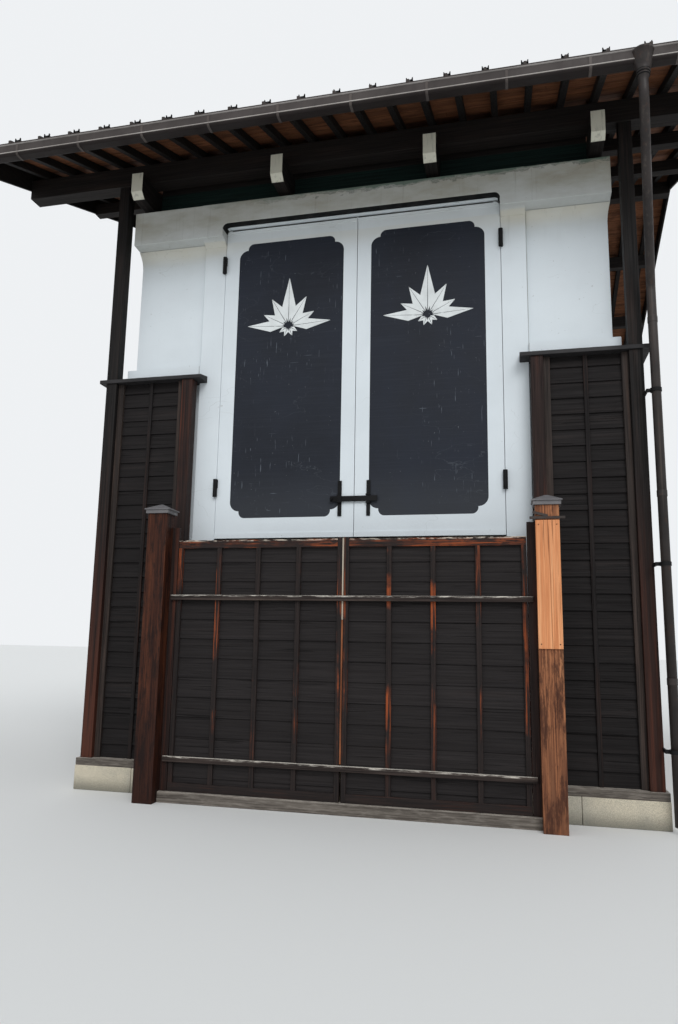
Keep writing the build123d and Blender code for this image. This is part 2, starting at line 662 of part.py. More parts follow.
# Bare board on the right-hand post
with BuildPart() as name_board:
    with BuildSketch(Plane.XZ.offset(-SIGN_POST_FRONT)):
        patch(SIGN_POST_INNER, post_outer, BOARD_BOTTOM, BOARD_BOTTOM + BOARD_HEIGHT)
    extrude(amount=BOARD_PLATE_THICKNESS)
write(name_board, "name_board")

# Iron over the board: a bar across the post with a slanting tail, a band round it and a tie to the frame
strap_back = post_back + STRAP_THICKNESS
with BuildPart() as post_straps:
    with BuildSketch(Plane.XZ.offset(-SIGN_POST_FRONT)):
        bar_start = SIGN_POST_INNER - STRAP_EAR
        patch(bar_start, post_outer + STRAP_EAR, STRAP_BOTTOM, STRAP_BOTTOM + STRAP_HEIGHT)
        tail_centre = bar_start + STRAP_TAIL_INSET + STRAP_TAIL_LENGTH / 2
        with Locations((tail_centre, STRAP_BOTTOM + 2 * STRAP_HEIGHT)):
            Rectangle(STRAP_TAIL_LENGTH, STRAP_HEIGHT, rotation=-STRAP_TAIL_SLOPE)
    extrude(amount=STRAP_BAR_THICKNESS)
    with BuildSketch(Plane.XY.offset(STRAP_BOTTOM)):
        patch(SIGN_POST_INNER - STRAP_THICKNESS, SIGN_POST_INNER, SIGN_POST_FRONT, strap_back)
        patch(post_outer, post_outer + STRAP_THICKNESS, SIGN_POST_FRONT, strap_back)
        patch(SIGN_POST_INNER - STRAP_THICKNESS, post_outer + STRAP_THICKNESS, post_back, strap_back)
        with Locations((TRIM_POST_EDGE + TRIM_POST_WIDTH / 2, (strap_back + FRAME_FRONT) / 2)):
            Rectangle(STRAP_TIE_WIDTH, FRAME_FRONT - strap_back)
    extrude(amount=STRAP_HEIGHT)
write(post_straps, "post_straps")

# Ground sill on the plinth, open at the doorway
post_inner_x = FRAME_HALF_WIDTH - POST_WIDTH
ground_sill_half = FRAME_HALF_WIDTH + GROUND_SILL_PROJECTION
ground_sill_front = FRAME_FRONT - GROUND_SILL_PROJECTION
with BuildPart() as ground_sills:
    with BuildSketch(Plane.XY.offset(PLINTH_HEIGHT)):
        patch(-ground_sill_half, ground_sill_half, ground_sill_front, back(ground_sill_front))
        with Locations((0, RIDGE_Y)):
            Rectangle(2 * post_inner_x, 2 * (RIDGE_Y - POST_BACK), mode=Mode.SUBTRACT)
        with Locations((0, (ground_sill_front + POST_BACK) / 2)):
            Rectangle(2 * TRIM_POST_EDGE, POST_BACK - ground_sill_front, mode=Mode.SUBTRACT)
    extrude(amount=GROUND_SILL_HEIGHT)
write(ground_sills, "ground_sills")

# Corner posts up to the eave plates, and trim posts beside the jambs up to the drip caps
with BuildPart() as corner_posts:
    with BuildSketch(Plane.XY.offset(POST_FOOT)):
        for side in SIDES:
            patch(side * post_inner_x, side * FRAME_HALF_WIDTH, FRAME_FRONT, POST_BACK)
            patch(side * post_inner_x, side * FRAME_HALF_WIDTH, back(POST_BACK), FRAME_BACK)
    extrude(amount=BEAM_TOP - POST_FOOT)
write(corner_posts, "corner_posts")

trim_outer = TRIM_POST_EDGE + TRIM_POST_WIDTH
with BuildPart() as trim_posts:
    with BuildSketch(Plane.XY.offset(POST_FOOT)):
        for side in SIDES:
            patch(side * TRIM_POST_EDGE, side * trim_outer, FRAME_FRONT, POST_BACK)
    extrude(amount=DRIP_CAP_BOTTOM - POST_FOOT)
write(trim_posts, "trim_posts")


def lapped_section():
    """Outline of lapped boards: a flat back and one sloping face for each board."""
    points = [(0, POST_FOOT)]
    low = POST_FOOT
    while low < DRIP_CAP_BOTTOM:
        high = min(low + BOARD_EXPOSURE, DRIP_CAP_BOTTOM)
        points.append((BOARD_THICK, low))
        points.append((BOARD_THICK - (BOARD_THICK - BOARD_THIN) * (high - low) / BOARD_EXPOSURE, high))
        low = high
    points.append((0, DRIP_CAP_BOTTOM))
    Polyline(*points, close=True)


def boarding(origin, outward, length):
    """Lapped boarding with its flat back through origin, facing outward, run along the wall."""
    with BuildPart() as boards:
        with BuildSketch(Plane(origin=origin, x_dir=outward, z_dir=Vector(*outward).cross(Vector(0, 0, 1)))):
            with BuildLine():
                lapped_section()
            make_face()
        extrude(amount=length)
    return boards.part


# Weatherboards between the posts, on all four sides
front_span = post_inner_x - trim_outer
board_side = FRAME_HALF_WIDTH - BOARD_BACK
with BuildPart() as weatherboards:
    add(boarding((-trim_outer, BOARD_FRONT_Y, 0), (0, -1, 0), front_span))
    add(boarding((post_inner_x, BOARD_FRONT_Y, 0), (0, -1, 0), front_span))
    add(boarding((board_side, back(POST_BACK), 0), (1, 0, 0), back(POST_BACK) - POST_BACK))
    add(boarding((-board_side, POST_BACK, 0), (-1, 0, 0), back(POST_BACK) - POST_BACK))
    add(boarding((-post_inner_x, back(BOARD_FRONT_Y), 0), (0, 1, 0), 2 * post_inner_x))
write(weatherboards, "weatherboards")

# Sheet drip caps over the boarding, notched round the corner posts
cap_front = FRAME_FRONT - DRIP_CAP_OVERHANG
cap_half = FRAME_HALF_WIDTH + DRIP_CAP_END_OVERHANG
cap_top = DRIP_CAP_BOTTOM + DRIP_CAP_LIP


def cap_section(wall, lip):
    """Outline of a drip cap from the wall plane out to its lip."""
    Polyline(
        (wall, DRIP_CAP_BOTTOM),
        (lip, DRIP_CAP_BOTTOM),
        (lip, cap_top),
        (wall, cap_top + DRIP_CAP_RISE),
        close=True,
    )


with BuildPart() as drip_caps:
    for start in (-cap_half, DRIP_CAP_INNER_END):
        with BuildSketch(Plane.YZ.offset(start)):
            with BuildLine():
                cap_section(PANEL_SETBACK, cap_front)
            make_face()
        extrude(amount=cap_half - DRIP_CAP_INNER_END)
    with BuildSketch(Plane.YZ.offset(-cap_half)):
        with BuildLine():
            cap_section(BOX_BACK, back(cap_front))
        make_face()
    extrude(amount=2 * cap_half)
    for side in SIDES:
        with BuildSketch(Plane.XZ.offset(-PANEL_SETBACK - DRIP_CAP_JOINT)):
            with BuildLine():
                cap_section(side * WALL_HALF_WIDTH, side * cap_half)
            make_face()
        extrude(amount=PANEL_SETBACK + 2 * DRIP_CAP_JOINT - BOX_BACK)
    with BuildSketch(Plane.XY.offset(DRIP_CAP_BOTTOM)):
        for side in SIDES:
            patch(side * post_inner_x, side * FRAME_HALF_WIDTH, FRAME_FRONT, POST_BACK)
            patch(side * post_inner_x, side * FRAME_HALF_WIDTH, back(POST_BACK), FRAME_BACK)
        patch(-JAMB_EDGE, JAMB_EDGE, 0, PANEL_SETBACK)
    extrude(amount=DRIP_CAP_LIP + DRIP_CAP_RISE, mode=Mode.SUBTRACT)
write(drip_caps, "drip_caps")

# Roof beams from eave to eave, with chamfered ends
with BuildPart() as roof_beams:
    for centre in BEAM_CENTRES:
        with BuildSketch(Plane.YZ.offset(centre - BEAM_WIDTH / 2)) as beam_side:
            patch(BEAM_END, back(BEAM_END), WALL_TOP, BEAM_TOP)
            chamfer(beam_side.vertices().group_by(Axis.Y)[0], BEAM_END_CHAMFER)
        extrude(amount=BEAM_WIDTH)
write(roof_beams, "roof_beams")


def bevelled_timber(low_y, high_y, bottom):
    """Section of a timber along the eaves, its top cut to the rafter slope."""
    Polyline(
        (low_y, bottom),
        (high_y, bottom),
        (high_y, rafter_plane(high_y)),
        (low_y, rafter_plane(low_y)),
        close=True,
    )


with BuildPart() as eave_plates:
    with BuildSketch(Plane.YZ.offset(-ROOF_HALF_WIDTH)):
        with BuildLine():
            bevelled_timber(PLATE_FRONT, PLATE_FRONT + PLATE_WIDTH, BEAM_TOP)
        make_face()
    extrude(amount=2 * ROOF_HALF_WIDTH)
    mirror(about=Plane.XZ.offset(-RIDGE_Y))
write(eave_plates, "eave_plates")

# Purlins, the ridge beam and the struts that carry them
ridge_bottom = rafter_plane(RIDGE_Y) - RIDGE_BEAM_HEIGHT
with BuildPart() as purlins:
    for station in PURLIN_STATIONS:
        low_y = station - PURLIN_WIDTH / 2
        with BuildSketch(Plane.YZ.offset(-ROOF_HALF_WIDTH)):
            with BuildLine():
                bevelled_timber(low_y, low_y + PURLIN_WIDTH, rafter_plane(low_y) - PURLIN_HEIGHT)
            make_face()
        extrude(amount=2 * ROOF_HALF_WIDTH)
    mirror(about=Plane.XZ.offset(-RIDGE_Y))
write(purlins, "purlins")

with BuildPart() as ridge_beam:
    ridge_edge = RIDGE_Y - RIDGE_BEAM_WIDTH / 2
    with BuildSketch(Plane.YZ.offset(-ROOF_HALF_WIDTH)):
        with BuildLine():
            Polyline(
                (ridge_edge, ridge_bottom),
                (back(ridge_edge), ridge_bottom),
                (back(ridge_edge), rafter_plane(ridge_edge)),
                (RIDGE_Y, rafter_plane(RIDGE_Y)),
                (ridge_edge, rafter_plane(ridge_edge)),
                close=True,
            )
        make_face()
    extrude(amount=2 * ROOF_HALF_WIDTH)
write(ridge_beam, "ridge_beam")

with BuildPart() as roof_struts:
    for station in PURLIN_STATIONS:
        strut_top = rafter_plane(station - PURLIN_WIDTH / 2) - PURLIN_HEIGHT
        with BuildSketch(Plane.XY.offset(BEAM_TOP)):
            with Locations(*[(x, y) for x in BEAM_CENTRES for y in (station, back(station))]):
                Rectangle(STRUT_WIDTH, STRUT_WIDTH)
        extrude(amount=strut_top - BEAM_TOP)
    with BuildSketch(Plane.XY.offset(BEAM_TOP)):
        with Locations(*[(x, RIDGE_Y) for x in BEAM_CENTRES]):
            Rectangle(STRUT_WIDTH, STRUT_WIDTH)
    extrude(amount=ridge_bottom - BEAM_TOP)
write(roof_struts, "roof_struts")

# Boards that close the space between the beams over the plaster
with BuildPart() as eave_infill:
    with BuildSketch(Plane.XY.offset(WALL_TOP)):
        for left, right in zip(BEAM_CENTRES, BEAM_CENTRES[1:]):
            x0 = left + BEAM_WIDTH / 2
            x1 = right - BEAM_WIDTH / 2
            patch(x0, x1, INFILL_SETBACK, INFILL_SETBACK + INFILL_THICKNESS)
            patch(x0, x1, back(INFILL_SETBACK + INFILL_THICKNESS), back(INFILL_SETBACK))
    extrude(amount=BEAM_HEIGHT)
write(eave_infill, "eave_infill")


def slope_layer(start, base, thickness, x0, x1):
    """Flat layer on the front slope, from its eave line to the ridge joint, doubled on the rear."""
    top = across(thickness)
    ridge_end = RIDGE_Y - RIDGE_JOINT / 2
    with BuildPart() as layer:
        with BuildSketch(Plane.YZ.offset(x0)):
            with BuildLine():
                Polyline(
                    (start, rafter_plane(start) + base),
                    (ridge_end, rafter_plane(ridge_end) + base),
                    (ridge_end, rafter_plane(ridge_end) + base + top),
                    (start, rafter_plane(start) + base + top),
                    close=True,
                )
            make_face()
        extrude(amount=x1 - x0)
        mirror(about=Plane.XZ.offset(-RIDGE_Y))
    return layer.part


# Rafters on both slopes
rafter_count = int(2 * (ROOF_HALF_WIDTH - RAFTER_WIDTH) // RAFTER_PITCH) + 1
first_rafter = -(rafter_count - 1) * RAFTER_PITCH / 2
with BuildPart() as rafters:
    for number in range(rafter_count):
        edge = first_rafter + number * RAFTER_PITCH - RAFTER_WIDTH / 2
        add(slope_layer(RAFTER_END, 0, RAFTER_HEIGHT, edge, edge + RAFTER_WIDTH))
write(rafters, "rafters")

board_base = across(RAFTER_HEIGHT)
sheet_base = board_base + across(ROOF_BOARD_THICKNESS)
with BuildPart() as roof_boards:
    add(slope_layer(ROOF_BOARD_END, board_base, ROOF_BOARD_THICKNESS, -ROOF_HALF_WIDTH, ROOF_HALF_WIDTH))
write(roof_boards, "roof_boards")

# Fascias across the rafter ends
fascia_back = RAFTER_END
with BuildPart() as fascias:
    with BuildSketch(Plane.YZ.offset(-ROOF_HALF_WIDTH)):
        with BuildLine():
            Polyline(
                (fascia_back - FASCIA_THICKNESS, rafter_plane(fascia_back) - FASCIA_DROP),
                (fascia_back, rafter_plane(fascia_back) - FASCIA_DROP),
                (fascia_back, rafter_plane(fascia_back) + board_base),
                (fascia_back - FASCIA_THICKNESS, rafter_plane(fascia_back - FASCIA_THICKNESS) + board_base),
                close=True,
            )
        make_face()
    extrude(amount=2 * ROOF_HALF_WIDTH)
    mirror(about=Plane.XZ.offset(-RIDGE_Y))
write(fascias, "fascias")

# Metal sheet with upright seams and a turned-down eave edge
sheet_half = ROOF_HALF_WIDTH + SHEET_SIDE_OVERHANG
seam_count = int(2 * sheet_half // SEAM_PITCH) + 1
first_seam = -(seam_count - 1) * SEAM_PITCH / 2
seam_base = sheet_base + across(SHEET_THICKNESS)
with BuildPart() as roof_sheets:
    add(slope_layer(SHEET_END, sheet_base, SHEET_THICKNESS, -sheet_half, sheet_half))
    for number in range(seam_count):
        edge = first_seam + number * SEAM_PITCH - SEAM_WIDTH / 2
        add(slope_layer(SHEET_END, seam_base, SEAM_HEIGHT, edge, edge + SEAM_WIDTH))
    drip_inner = SHEET_END + SHEET_THICKNESS
    drip_bottom = rafter_plane(SHEET_END) + sheet_base - SHEET_DRIP
    with BuildSketch(Plane.YZ.offset(-sheet_half)):
        with BuildLine():
            Polyline(
                (SHEET_END, drip_bottom),
                (drip_inner, drip_bottom),
                (drip_inner, rafter_plane(drip_inner) + sheet_base),
                (SHEET_END, rafter_plane(SHEET_END) + sheet_base),
                close=True,
            )
        make_face()
    extrude(amount=2 * sheet_half)
    mirror(about=Plane.XZ.offset(-RIDGE_Y))
write(roof_sheets, "roof_sheets")

# Ridge cap: two wings over the sheet and a box along the top
cap_base = seam_base + across(SEAM_HEIGHT)
wing_end = RIDGE_Y - RIDGE_CAP_HALF_WIDTH
wing_thickness = across(RIDGE_CAP_THICKNESS)
box_edge = RIDGE_Y - RIDGE_CAP_BOX_WIDTH / 2
with BuildPart() as ridge_cap:
    with BuildSketch(Plane.YZ.offset(-sheet_half)):
        with BuildLine():
            box_top = rafter_plane(RIDGE_Y) + cap_base + RIDGE_CAP_BOX_HEIGHT
            box_shoulder = rafter_plane(box_edge) + cap_base + wing_thickness
            Polyline(
                (RIDGE_Y, rafter_plane(RIDGE_Y) + cap_base),
                (wing_end, rafter_plane(wing_end) + cap_base),
                (wing_end, rafter_plane(wing_end) + cap_base + wing_thickness),
                (box_edge, box_shoulder),
                (box_edge, box_top),
                (back(box_edge), box_top),
                (back(box_edge), box_shoulder),
                (back(wing_end), rafter_plane(wing_end) + cap_base + wing_thickness),
                (back(wing_end), rafter_plane(wing_end) + cap_base),
                close=True,
            )
        make_face()
    extrude(amount=2 * sheet_half)
write(ridge_cap, "ridge_cap")

# Bargeboards along both verges, jointed under the ridge cap
with BuildPart() as bargeboards:
    barge_eave = RAFTER_END - FASCIA_THICKNESS
    barge_ridge = RIDGE_Y - RIDGE_JOINT / 2
    for start in (-ROOF_HALF_WIDTH - BARGE_THICKNESS, ROOF_HALF_WIDTH):
        with BuildSketch(Plane.YZ.offset(start)):
            with BuildLine():
                Polyline(
                    (barge_eave, rafter_plane(barge_eave) + sheet_base),
                    (barge_ridge, rafter_plane(barge_ridge) + sheet_base),
                    (barge_ridge, rafter_plane(barge_ridge) - BARGE_DROP),
                    (barge_eave, rafter_plane(barge_eave) - BARGE_DROP),
                    close=True,
                )
            make_face()
        extrude(amount=BARGE_THICKNESS)
    mirror(about=Plane.XZ.offset(-RIDGE_Y))
write(bargeboards, "bargeboards")

# Snow stops straddling the seams near both eaves: a low wedge between two upright ears
stop_left = first_seam - SNOW_STOP_WIDTH / 2
stop_end = SNOW_STOP_Y + SNOW_STOP_LENGTH
with BuildPart() as snow_stops:
    stop_base = rafter_plane(SNOW_STOP_Y) + cap_base
    for start, width, height in (
        (stop_left, SNOW_STOP_WIDTH, SNOW_STOP_BAR_HEIGHT),
        (stop_left, SNOW_STOP_EAR_WIDTH, SNOW_STOP_EAR_HEIGHT),
        (stop_left + SNOW_STOP_WIDTH - SNOW_STOP_EAR_WIDTH, SNOW_STOP_EAR_WIDTH, SNOW_STOP_EAR_HEIGHT),
    ):
        with BuildSketch(Plane.YZ.offset(start)):
            with BuildLine():
                Polyline(
                    (SNOW_STOP_Y, stop_base),
                    (stop_end, rafter_plane(stop_end) + cap_base),
                    (SNOW_STOP_Y, stop_base + height),
                    close=True,
                )
            make_face()
        extrude(amount=width)
    first_stop = snow_stops.part
    for number in range(1, seam_count):
        add(Pos(number * SEAM_PITCH, 0, 0) * first_stop)
    mirror(about=Plane.XZ.offset(-RIDGE_Y))
write(snow_stops, "snow_stops")

# Gutters: open troughs with rounded bottom corners
gutter_front = GUTTER_BACK - GUTTER_WIDTH
gutter_bottom = GUTTER_TOP - GUTTER_DEPTH
with BuildPart() as front_gutter:
    with BuildSketch(Plane.YZ.offset(-ROOF_HALF_WIDTH)):
        with BuildSketch(mode=Mode.ADD) as outside:
            patch(gutter_front, GUTTER_BACK, gutter_bottom, GUTTER_TOP)
            fillet(outside.vertices().group_by(Axis.Y)[0], GUTTER_CORNER)
        with BuildSketch(mode=Mode.SUBTRACT) as inside:
            patch(gutter_front + GUTTER_WALL, GUTTER_BACK - GUTTER_WALL, gutter_bottom + GUTTER_WALL, GUTTER_TOP)
            fillet(inside.vertices().group_by(Axis.Y)[0], GUTTER_CORNER - GUTTER_WALL)
    extrude(amount=2 * ROOF_HALF_WIDTH)
    for start in (-ROOF_HALF_WIDTH, ROOF_HALF_WIDTH - GUTTER_WALL):
        with BuildSketch(Plane.YZ.offset(start)) as end_plate:
            patch(gutter_front, GUTTER_BACK, gutter_bottom, GUTTER_TOP)
            fillet(end_plate.vertices().group_by(Axis.Y)[0], GUTTER_CORNER)
        extrude(amount=GUTTER_WALL)
write(front_gutter, "front_gutter")

with BuildPart() as back_gutter:
    mirror(front_gutter.part, about=Plane.XZ.offset(-RIDGE_Y))
write(back_gutter, "back_gutter")

# Straps that hang the gutters from the fascias
fascia_front = fascia_back - FASCIA_THICKNESS
with BuildPart() as gutter_straps:
    hopper_strap = PIPE_TOP_X + GUTTER_STRAP_PAST_HOPPER
    straps_end = ROOF_HALF_WIDTH - GUTTER_STRAP_END_GAP
    straps_before = int((hopper_strap + straps_end) // GUTTER_STRAP_PITCH)
    straps_after = int((straps_end - hopper_strap) // GUTTER_STRAP_PITCH)
    first_strap = hopper_strap - straps_before * GUTTER_STRAP_PITCH
    strap = GUTTER_STRAP_THICKNESS
    with BuildSketch(Plane.YZ.offset(first_strap - GUTTER_STRAP_WIDTH / 2)):
        with BuildSketch(mode=Mode.ADD) as outside:
            patch(gutter_front - strap, GUTTER_BACK + strap, gutter_bottom - strap, GUTTER_TOP)
            fillet(outside.vertices().group_by(Axis.Y)[0], GUTTER_CORNER + strap)
        with BuildSketch(mode=Mode.SUBTRACT) as inside:
            patch(gutter_front, GUTTER_BACK, gutter_bottom, GUTTER_TOP)
            fillet(inside.vertices().group_by(Axis.Y)[0], GUTTER_CORNER)
        patch(GUTTER_BACK + strap, fascia_front, GUTTER_TOP - GUTTER_STRAP_WIDTH, GUTTER_TOP)
    extrude(amount=GUTTER_STRAP_WIDTH)
    first_hook = gutter_straps.part
    for number in range(1, straps_before + straps_after + 1):
        add(Pos(number * GUTTER_STRAP_PITCH, 0, 0) * first_hook)
    mirror(about=Plane.XZ.offset(-RIDGE_Y))
write(gutter_straps, "gutter_straps")

# Downpipe slanting back to the corner post, and its hopper, which laps the face of the gutter
gutter_middle = GUTTER_BACK - GUTTER_WIDTH / 2
hopper_bottom = gutter_bottom - HOPPER_HEIGHT
with BuildPart() as downpipe:
    with BuildSketch(Plane.XY.offset(gutter_bottom)):
        hopper_side = PIPE_TOP_X - HOPPER_WIDTH / 2
        patch(hopper_side, hopper_side + HOPPER_WIDTH, gutter_middle - HOPPER_DEPTH / 2, gutter_front)
    extrude(amount=GUTTER_DEPTH)
    with BuildSketch(Plane.XY.offset(gutter_bottom)):
        with Locations((PIPE_TOP_X, gutter_middle)):
            Rectangle(HOPPER_WIDTH, HOPPER_DEPTH)
    with BuildSketch(Plane.XY.offset(hopper_bottom)):
        with Locations((PIPE_TOP_X, gutter_middle)):
            Circle(PIPE_RADIUS)
    loft()
    with BuildLine() as route:
        FilletPolyline(
            (PIPE_TOP_X, gutter_middle, hopper_bottom),
            (PIPE_TOP_X, gutter_middle, hopper_bottom - PIPE_DROP),
            (PIPE_X, PIPE_Y, DRIP_CAP_BOTTOM + PIPE_BEND_RISE),
            (PIPE_X, PIPE_Y, PIPE_FOOT),
            radius=PIPE_BEND_RADIUS,
        )
    with BuildSketch(Plane.XY.offset(hopper_bottom)):
        with Locations((PIPE_TOP_X, gutter_middle)):
            Circle(PIPE_RADIUS)
    sweep(path=route.wire())
write(downpipe, "downpipe")

# Rings that hold the pipe to the corner post
with BuildPart() as pipe_brackets:
    ring_outer = PIPE_RADIUS + PIPE_RING_GAP + PIPE_RING_WALL
    for height in PIPE_RING_HEIGHTS:
        with BuildSketch(Plane.XY.offset(height)):
            with Locations((PIPE_X, PIPE_Y)):
                Circle(ring_outer)
            patch(FRAME_HALF_WIDTH - PIPE_ARM_THICKNESS, FRAME_HALF_WIDTH, PIPE_Y, FRAME_FRONT)
            patch(FRAME_HALF_WIDTH - PIPE_ARM_THICKNESS, PIPE_X, PIPE_Y, PIPE_Y + PIPE_ARM_THICKNESS)
            with Locations((PIPE_X, PIPE_Y)):
                Circle(PIPE_RADIUS + PIPE_RING_GAP, mode=Mode.SUBTRACT)
        extrude(amount=PIPE_RING_HEIGHT)
write(pipe_brackets, "pipe_brackets")
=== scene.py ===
"""Looks of the float storehouse, laid out as an add-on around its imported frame.

Metres. +X runs to the right along the front, +Y into the building, +Z up.
"""
import math
import random

import bmesh
import bpy
from bpy.props import FloatProperty, FloatVectorProperty, PointerProperty
from mathutils import Matrix, Vector


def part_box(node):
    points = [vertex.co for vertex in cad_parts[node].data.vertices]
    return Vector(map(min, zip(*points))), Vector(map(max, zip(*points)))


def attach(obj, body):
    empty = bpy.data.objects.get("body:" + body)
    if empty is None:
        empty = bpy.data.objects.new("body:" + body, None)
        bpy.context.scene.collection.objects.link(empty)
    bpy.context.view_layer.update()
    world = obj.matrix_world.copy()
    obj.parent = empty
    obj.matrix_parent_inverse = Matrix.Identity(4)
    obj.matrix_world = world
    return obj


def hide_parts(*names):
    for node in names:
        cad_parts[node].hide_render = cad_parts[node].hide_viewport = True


bl_info = {
    "name": "Float Storehouse",
    "version": (1, 0, 0),
    "blender": (4, 5, 0),
    "location": "3D View > Sidebar > Storehouse",
    "description": "Plaster, charred boards, doors, eaves and roof for the storehouse frame",
    "category": "Object",
}

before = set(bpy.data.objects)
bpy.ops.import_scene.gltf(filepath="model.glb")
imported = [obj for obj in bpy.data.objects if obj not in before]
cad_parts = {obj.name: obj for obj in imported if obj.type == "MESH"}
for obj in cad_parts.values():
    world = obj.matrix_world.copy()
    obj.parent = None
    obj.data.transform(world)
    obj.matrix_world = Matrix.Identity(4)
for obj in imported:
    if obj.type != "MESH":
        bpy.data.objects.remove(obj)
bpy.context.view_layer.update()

HOUSE = "house"
LEFT_LEAF = "left_leaf"
RIGHT_LEAF = "right_leaf"
LEAVES = ((-1, "left", LEFT_LEAF), (1, "right", RIGHT_LEAF))
SIDES = (-1, 1)
X_AXIS = Vector((1, 0, 0))
Y_AXIS = Vector((0, 1, 0))
Z_AXIS = Vector((0, 0, 1))

RIDGE_Y = 3.9
ROOF_SLOPE = 0.38
EAVE_PLATE_Y = -0.19
RAFTER_UNDERSIDE = 6.96
POST_WIDTH = 0.125
DOORWAY = 1.52
HEAD = 6.136
HEAD_CORNER = 0.06
RAIL_TOPS = (0.425, 1.965)
BOARDS_START = 0.287
SKIRT_TOP = 2.51
LEDGE = 4.52
JAMB_EDGE = 1.773


def back(y):
    """The same place on the rear half of the building."""
    return 2 * RIDGE_Y - y


def front_or_rear(hand, y):
    """A place on the front half for hand 1, and the same place on the rear half for hand -1."""
    return y if hand > 0 else back(y)


def rafter_plane(y):
    """Height of the underside of the front rafters."""
    return RAFTER_UNDERSIDE + ROOF_SLOPE * (y - EAVE_PLATE_Y)


def paint(red, green, blue):
    """Linear colour of a paint whose strength is given from 0 to 255."""
    return tuple(
        (c / 255 / 12.92 if c <= 10 else ((c / 255 + 0.055) / 1.055) ** 2.4)
        for c in (red, green, blue)
    )


def shaded(colour, strength):
    """The same colour, lighter above 1 and darker below."""
    return tuple(min(1, c * strength) for c in colour)


def colour_choice(name, description, shade):
    """A colour that the user can change."""
    return FloatVectorProperty(
        name=name, description=description, subtype="COLOR", size=3, min=0, max=1, default=shade
    )


def length_choice(name, description, metres):
    """A size that the user can change."""
    return FloatProperty(
        name=name, description=description, unit="LENGTH", min=0.0005, default=metres
    )


class PlasterSettings(bpy.types.PropertyGroup):
    """Sizes and colours of the plaster."""

    white: colour_choice("White", "Colour of clean plaster", paint(221, 228, 232))
    # The grime colour also serves as painted shade under the eaves, above the wall ledge and beside
    # the jambs.
    grime_and_shade: colour_choice("Grime", "Colour of the dirt under the eaves", paint(142, 136, 117))
    moss: colour_choice("Moss", "Colour of the stain along the top", paint(78, 98, 86))
    arris: length_choice("Arris", "Width of the rounded edges", 0.006)


class BoardSettings(bpy.types.PropertyGroup):
    """Sizes and colours of the boarding."""

    exposure: length_choice("Exposure", "Height of each weatherboard that shows", 0.157)
    skirt_exposure: length_choice("Skirting exposure", "Height of each skirting board", 0.187)
    thin: length_choice("Head thickness", "From the studs to the face at a board's head", 0.02)
    thick: length_choice("Foot thickness", "From the studs to the face at a board's foot", 0.036)
    arris: length_choice("Arris", "Width of the worn edges", 0.002)
    charred: colour_choice("Charred", "Colour of the blackened boards", paint(33, 30, 30))
    rubbed: colour_choice("Rubbed", "Colour of wood that has lost its black", paint(150, 74, 38))


class DoorSettings(bpy.types.PropertyGroup):
    """Sizes and colours of the door leaves."""

    lacquer: colour_choice("Lacquer", "Colour of the black panels", paint(31, 35, 44))
    ornament: colour_choice("Ornament", "Colour of the folded fans", paint(226, 230, 230))
    fan_reach: length_choice("Fan reach", "Half the width of a folded fan", 0.47)
    fan_height: length_choice("Fan height", "Height of a folded fan above its root", 0.56)
    iron: colour_choice("Iron", "Colour of the bolt and hinges", paint(24, 24, 25))


class EaveSettings(bpy.types.PropertyGroup):
    """Sizes and colours of the eaves and roof."""

    soffit_board: length_choice("Soffit board", "Width of one roof board", 0.18)
    soffit_gap: length_choice("Board gap", "Joint between roof boards", 0.007)
    soffit: colour_choice("Soffit", "Colour of the roof boards from below", paint(132, 84, 56))
    sheet: colour_choice("Sheet", "Colour of the roofing", paint(62, 55, 52))
    gutter: colour_choice("Gutter", "Colour of the gutters", paint(76, 70, 68))
    beam_paint: colour_choice("Beam paint", "Colour of the beam ends", paint(206, 204, 188))


class StageSettings(bpy.types.PropertyGroup):
    """Floor and light."""

    floor: colour_choice("Floor", "Colour of the floor", paint(232, 232, 230))
    sun: FloatProperty(name="Sun", description="Strength of the soft sun", min=0, default=1.2)
    sky: FloatProperty(
        name="Sky", description="Strength of the light all round", min=0, default=0.74
    )


class NodeBench:
    """Makes and links the nodes of one tree."""

    def __init__(self, tree):
        self.tree = tree

    def node(self, kind, inputs=None, **settings):
        made = self.tree.nodes.new(kind)
        for key, value in settings.items():
            setattr(made, key, value)
        for key, value in (inputs or {}).items():
            self.feed(made.inputs[key], value)
        return made

    def feed(self, socket, value):
        """Link an output, or set a plain number or colour."""
        if isinstance(value, bpy.types.NodeSocket):
            self.tree.links.new(value, socket)
        elif isinstance(value, tuple) and len(value) == 3 and socket.type == "RGBA":
            socket.default_value = (*value, 1)
        else:
            socket.default_value = value


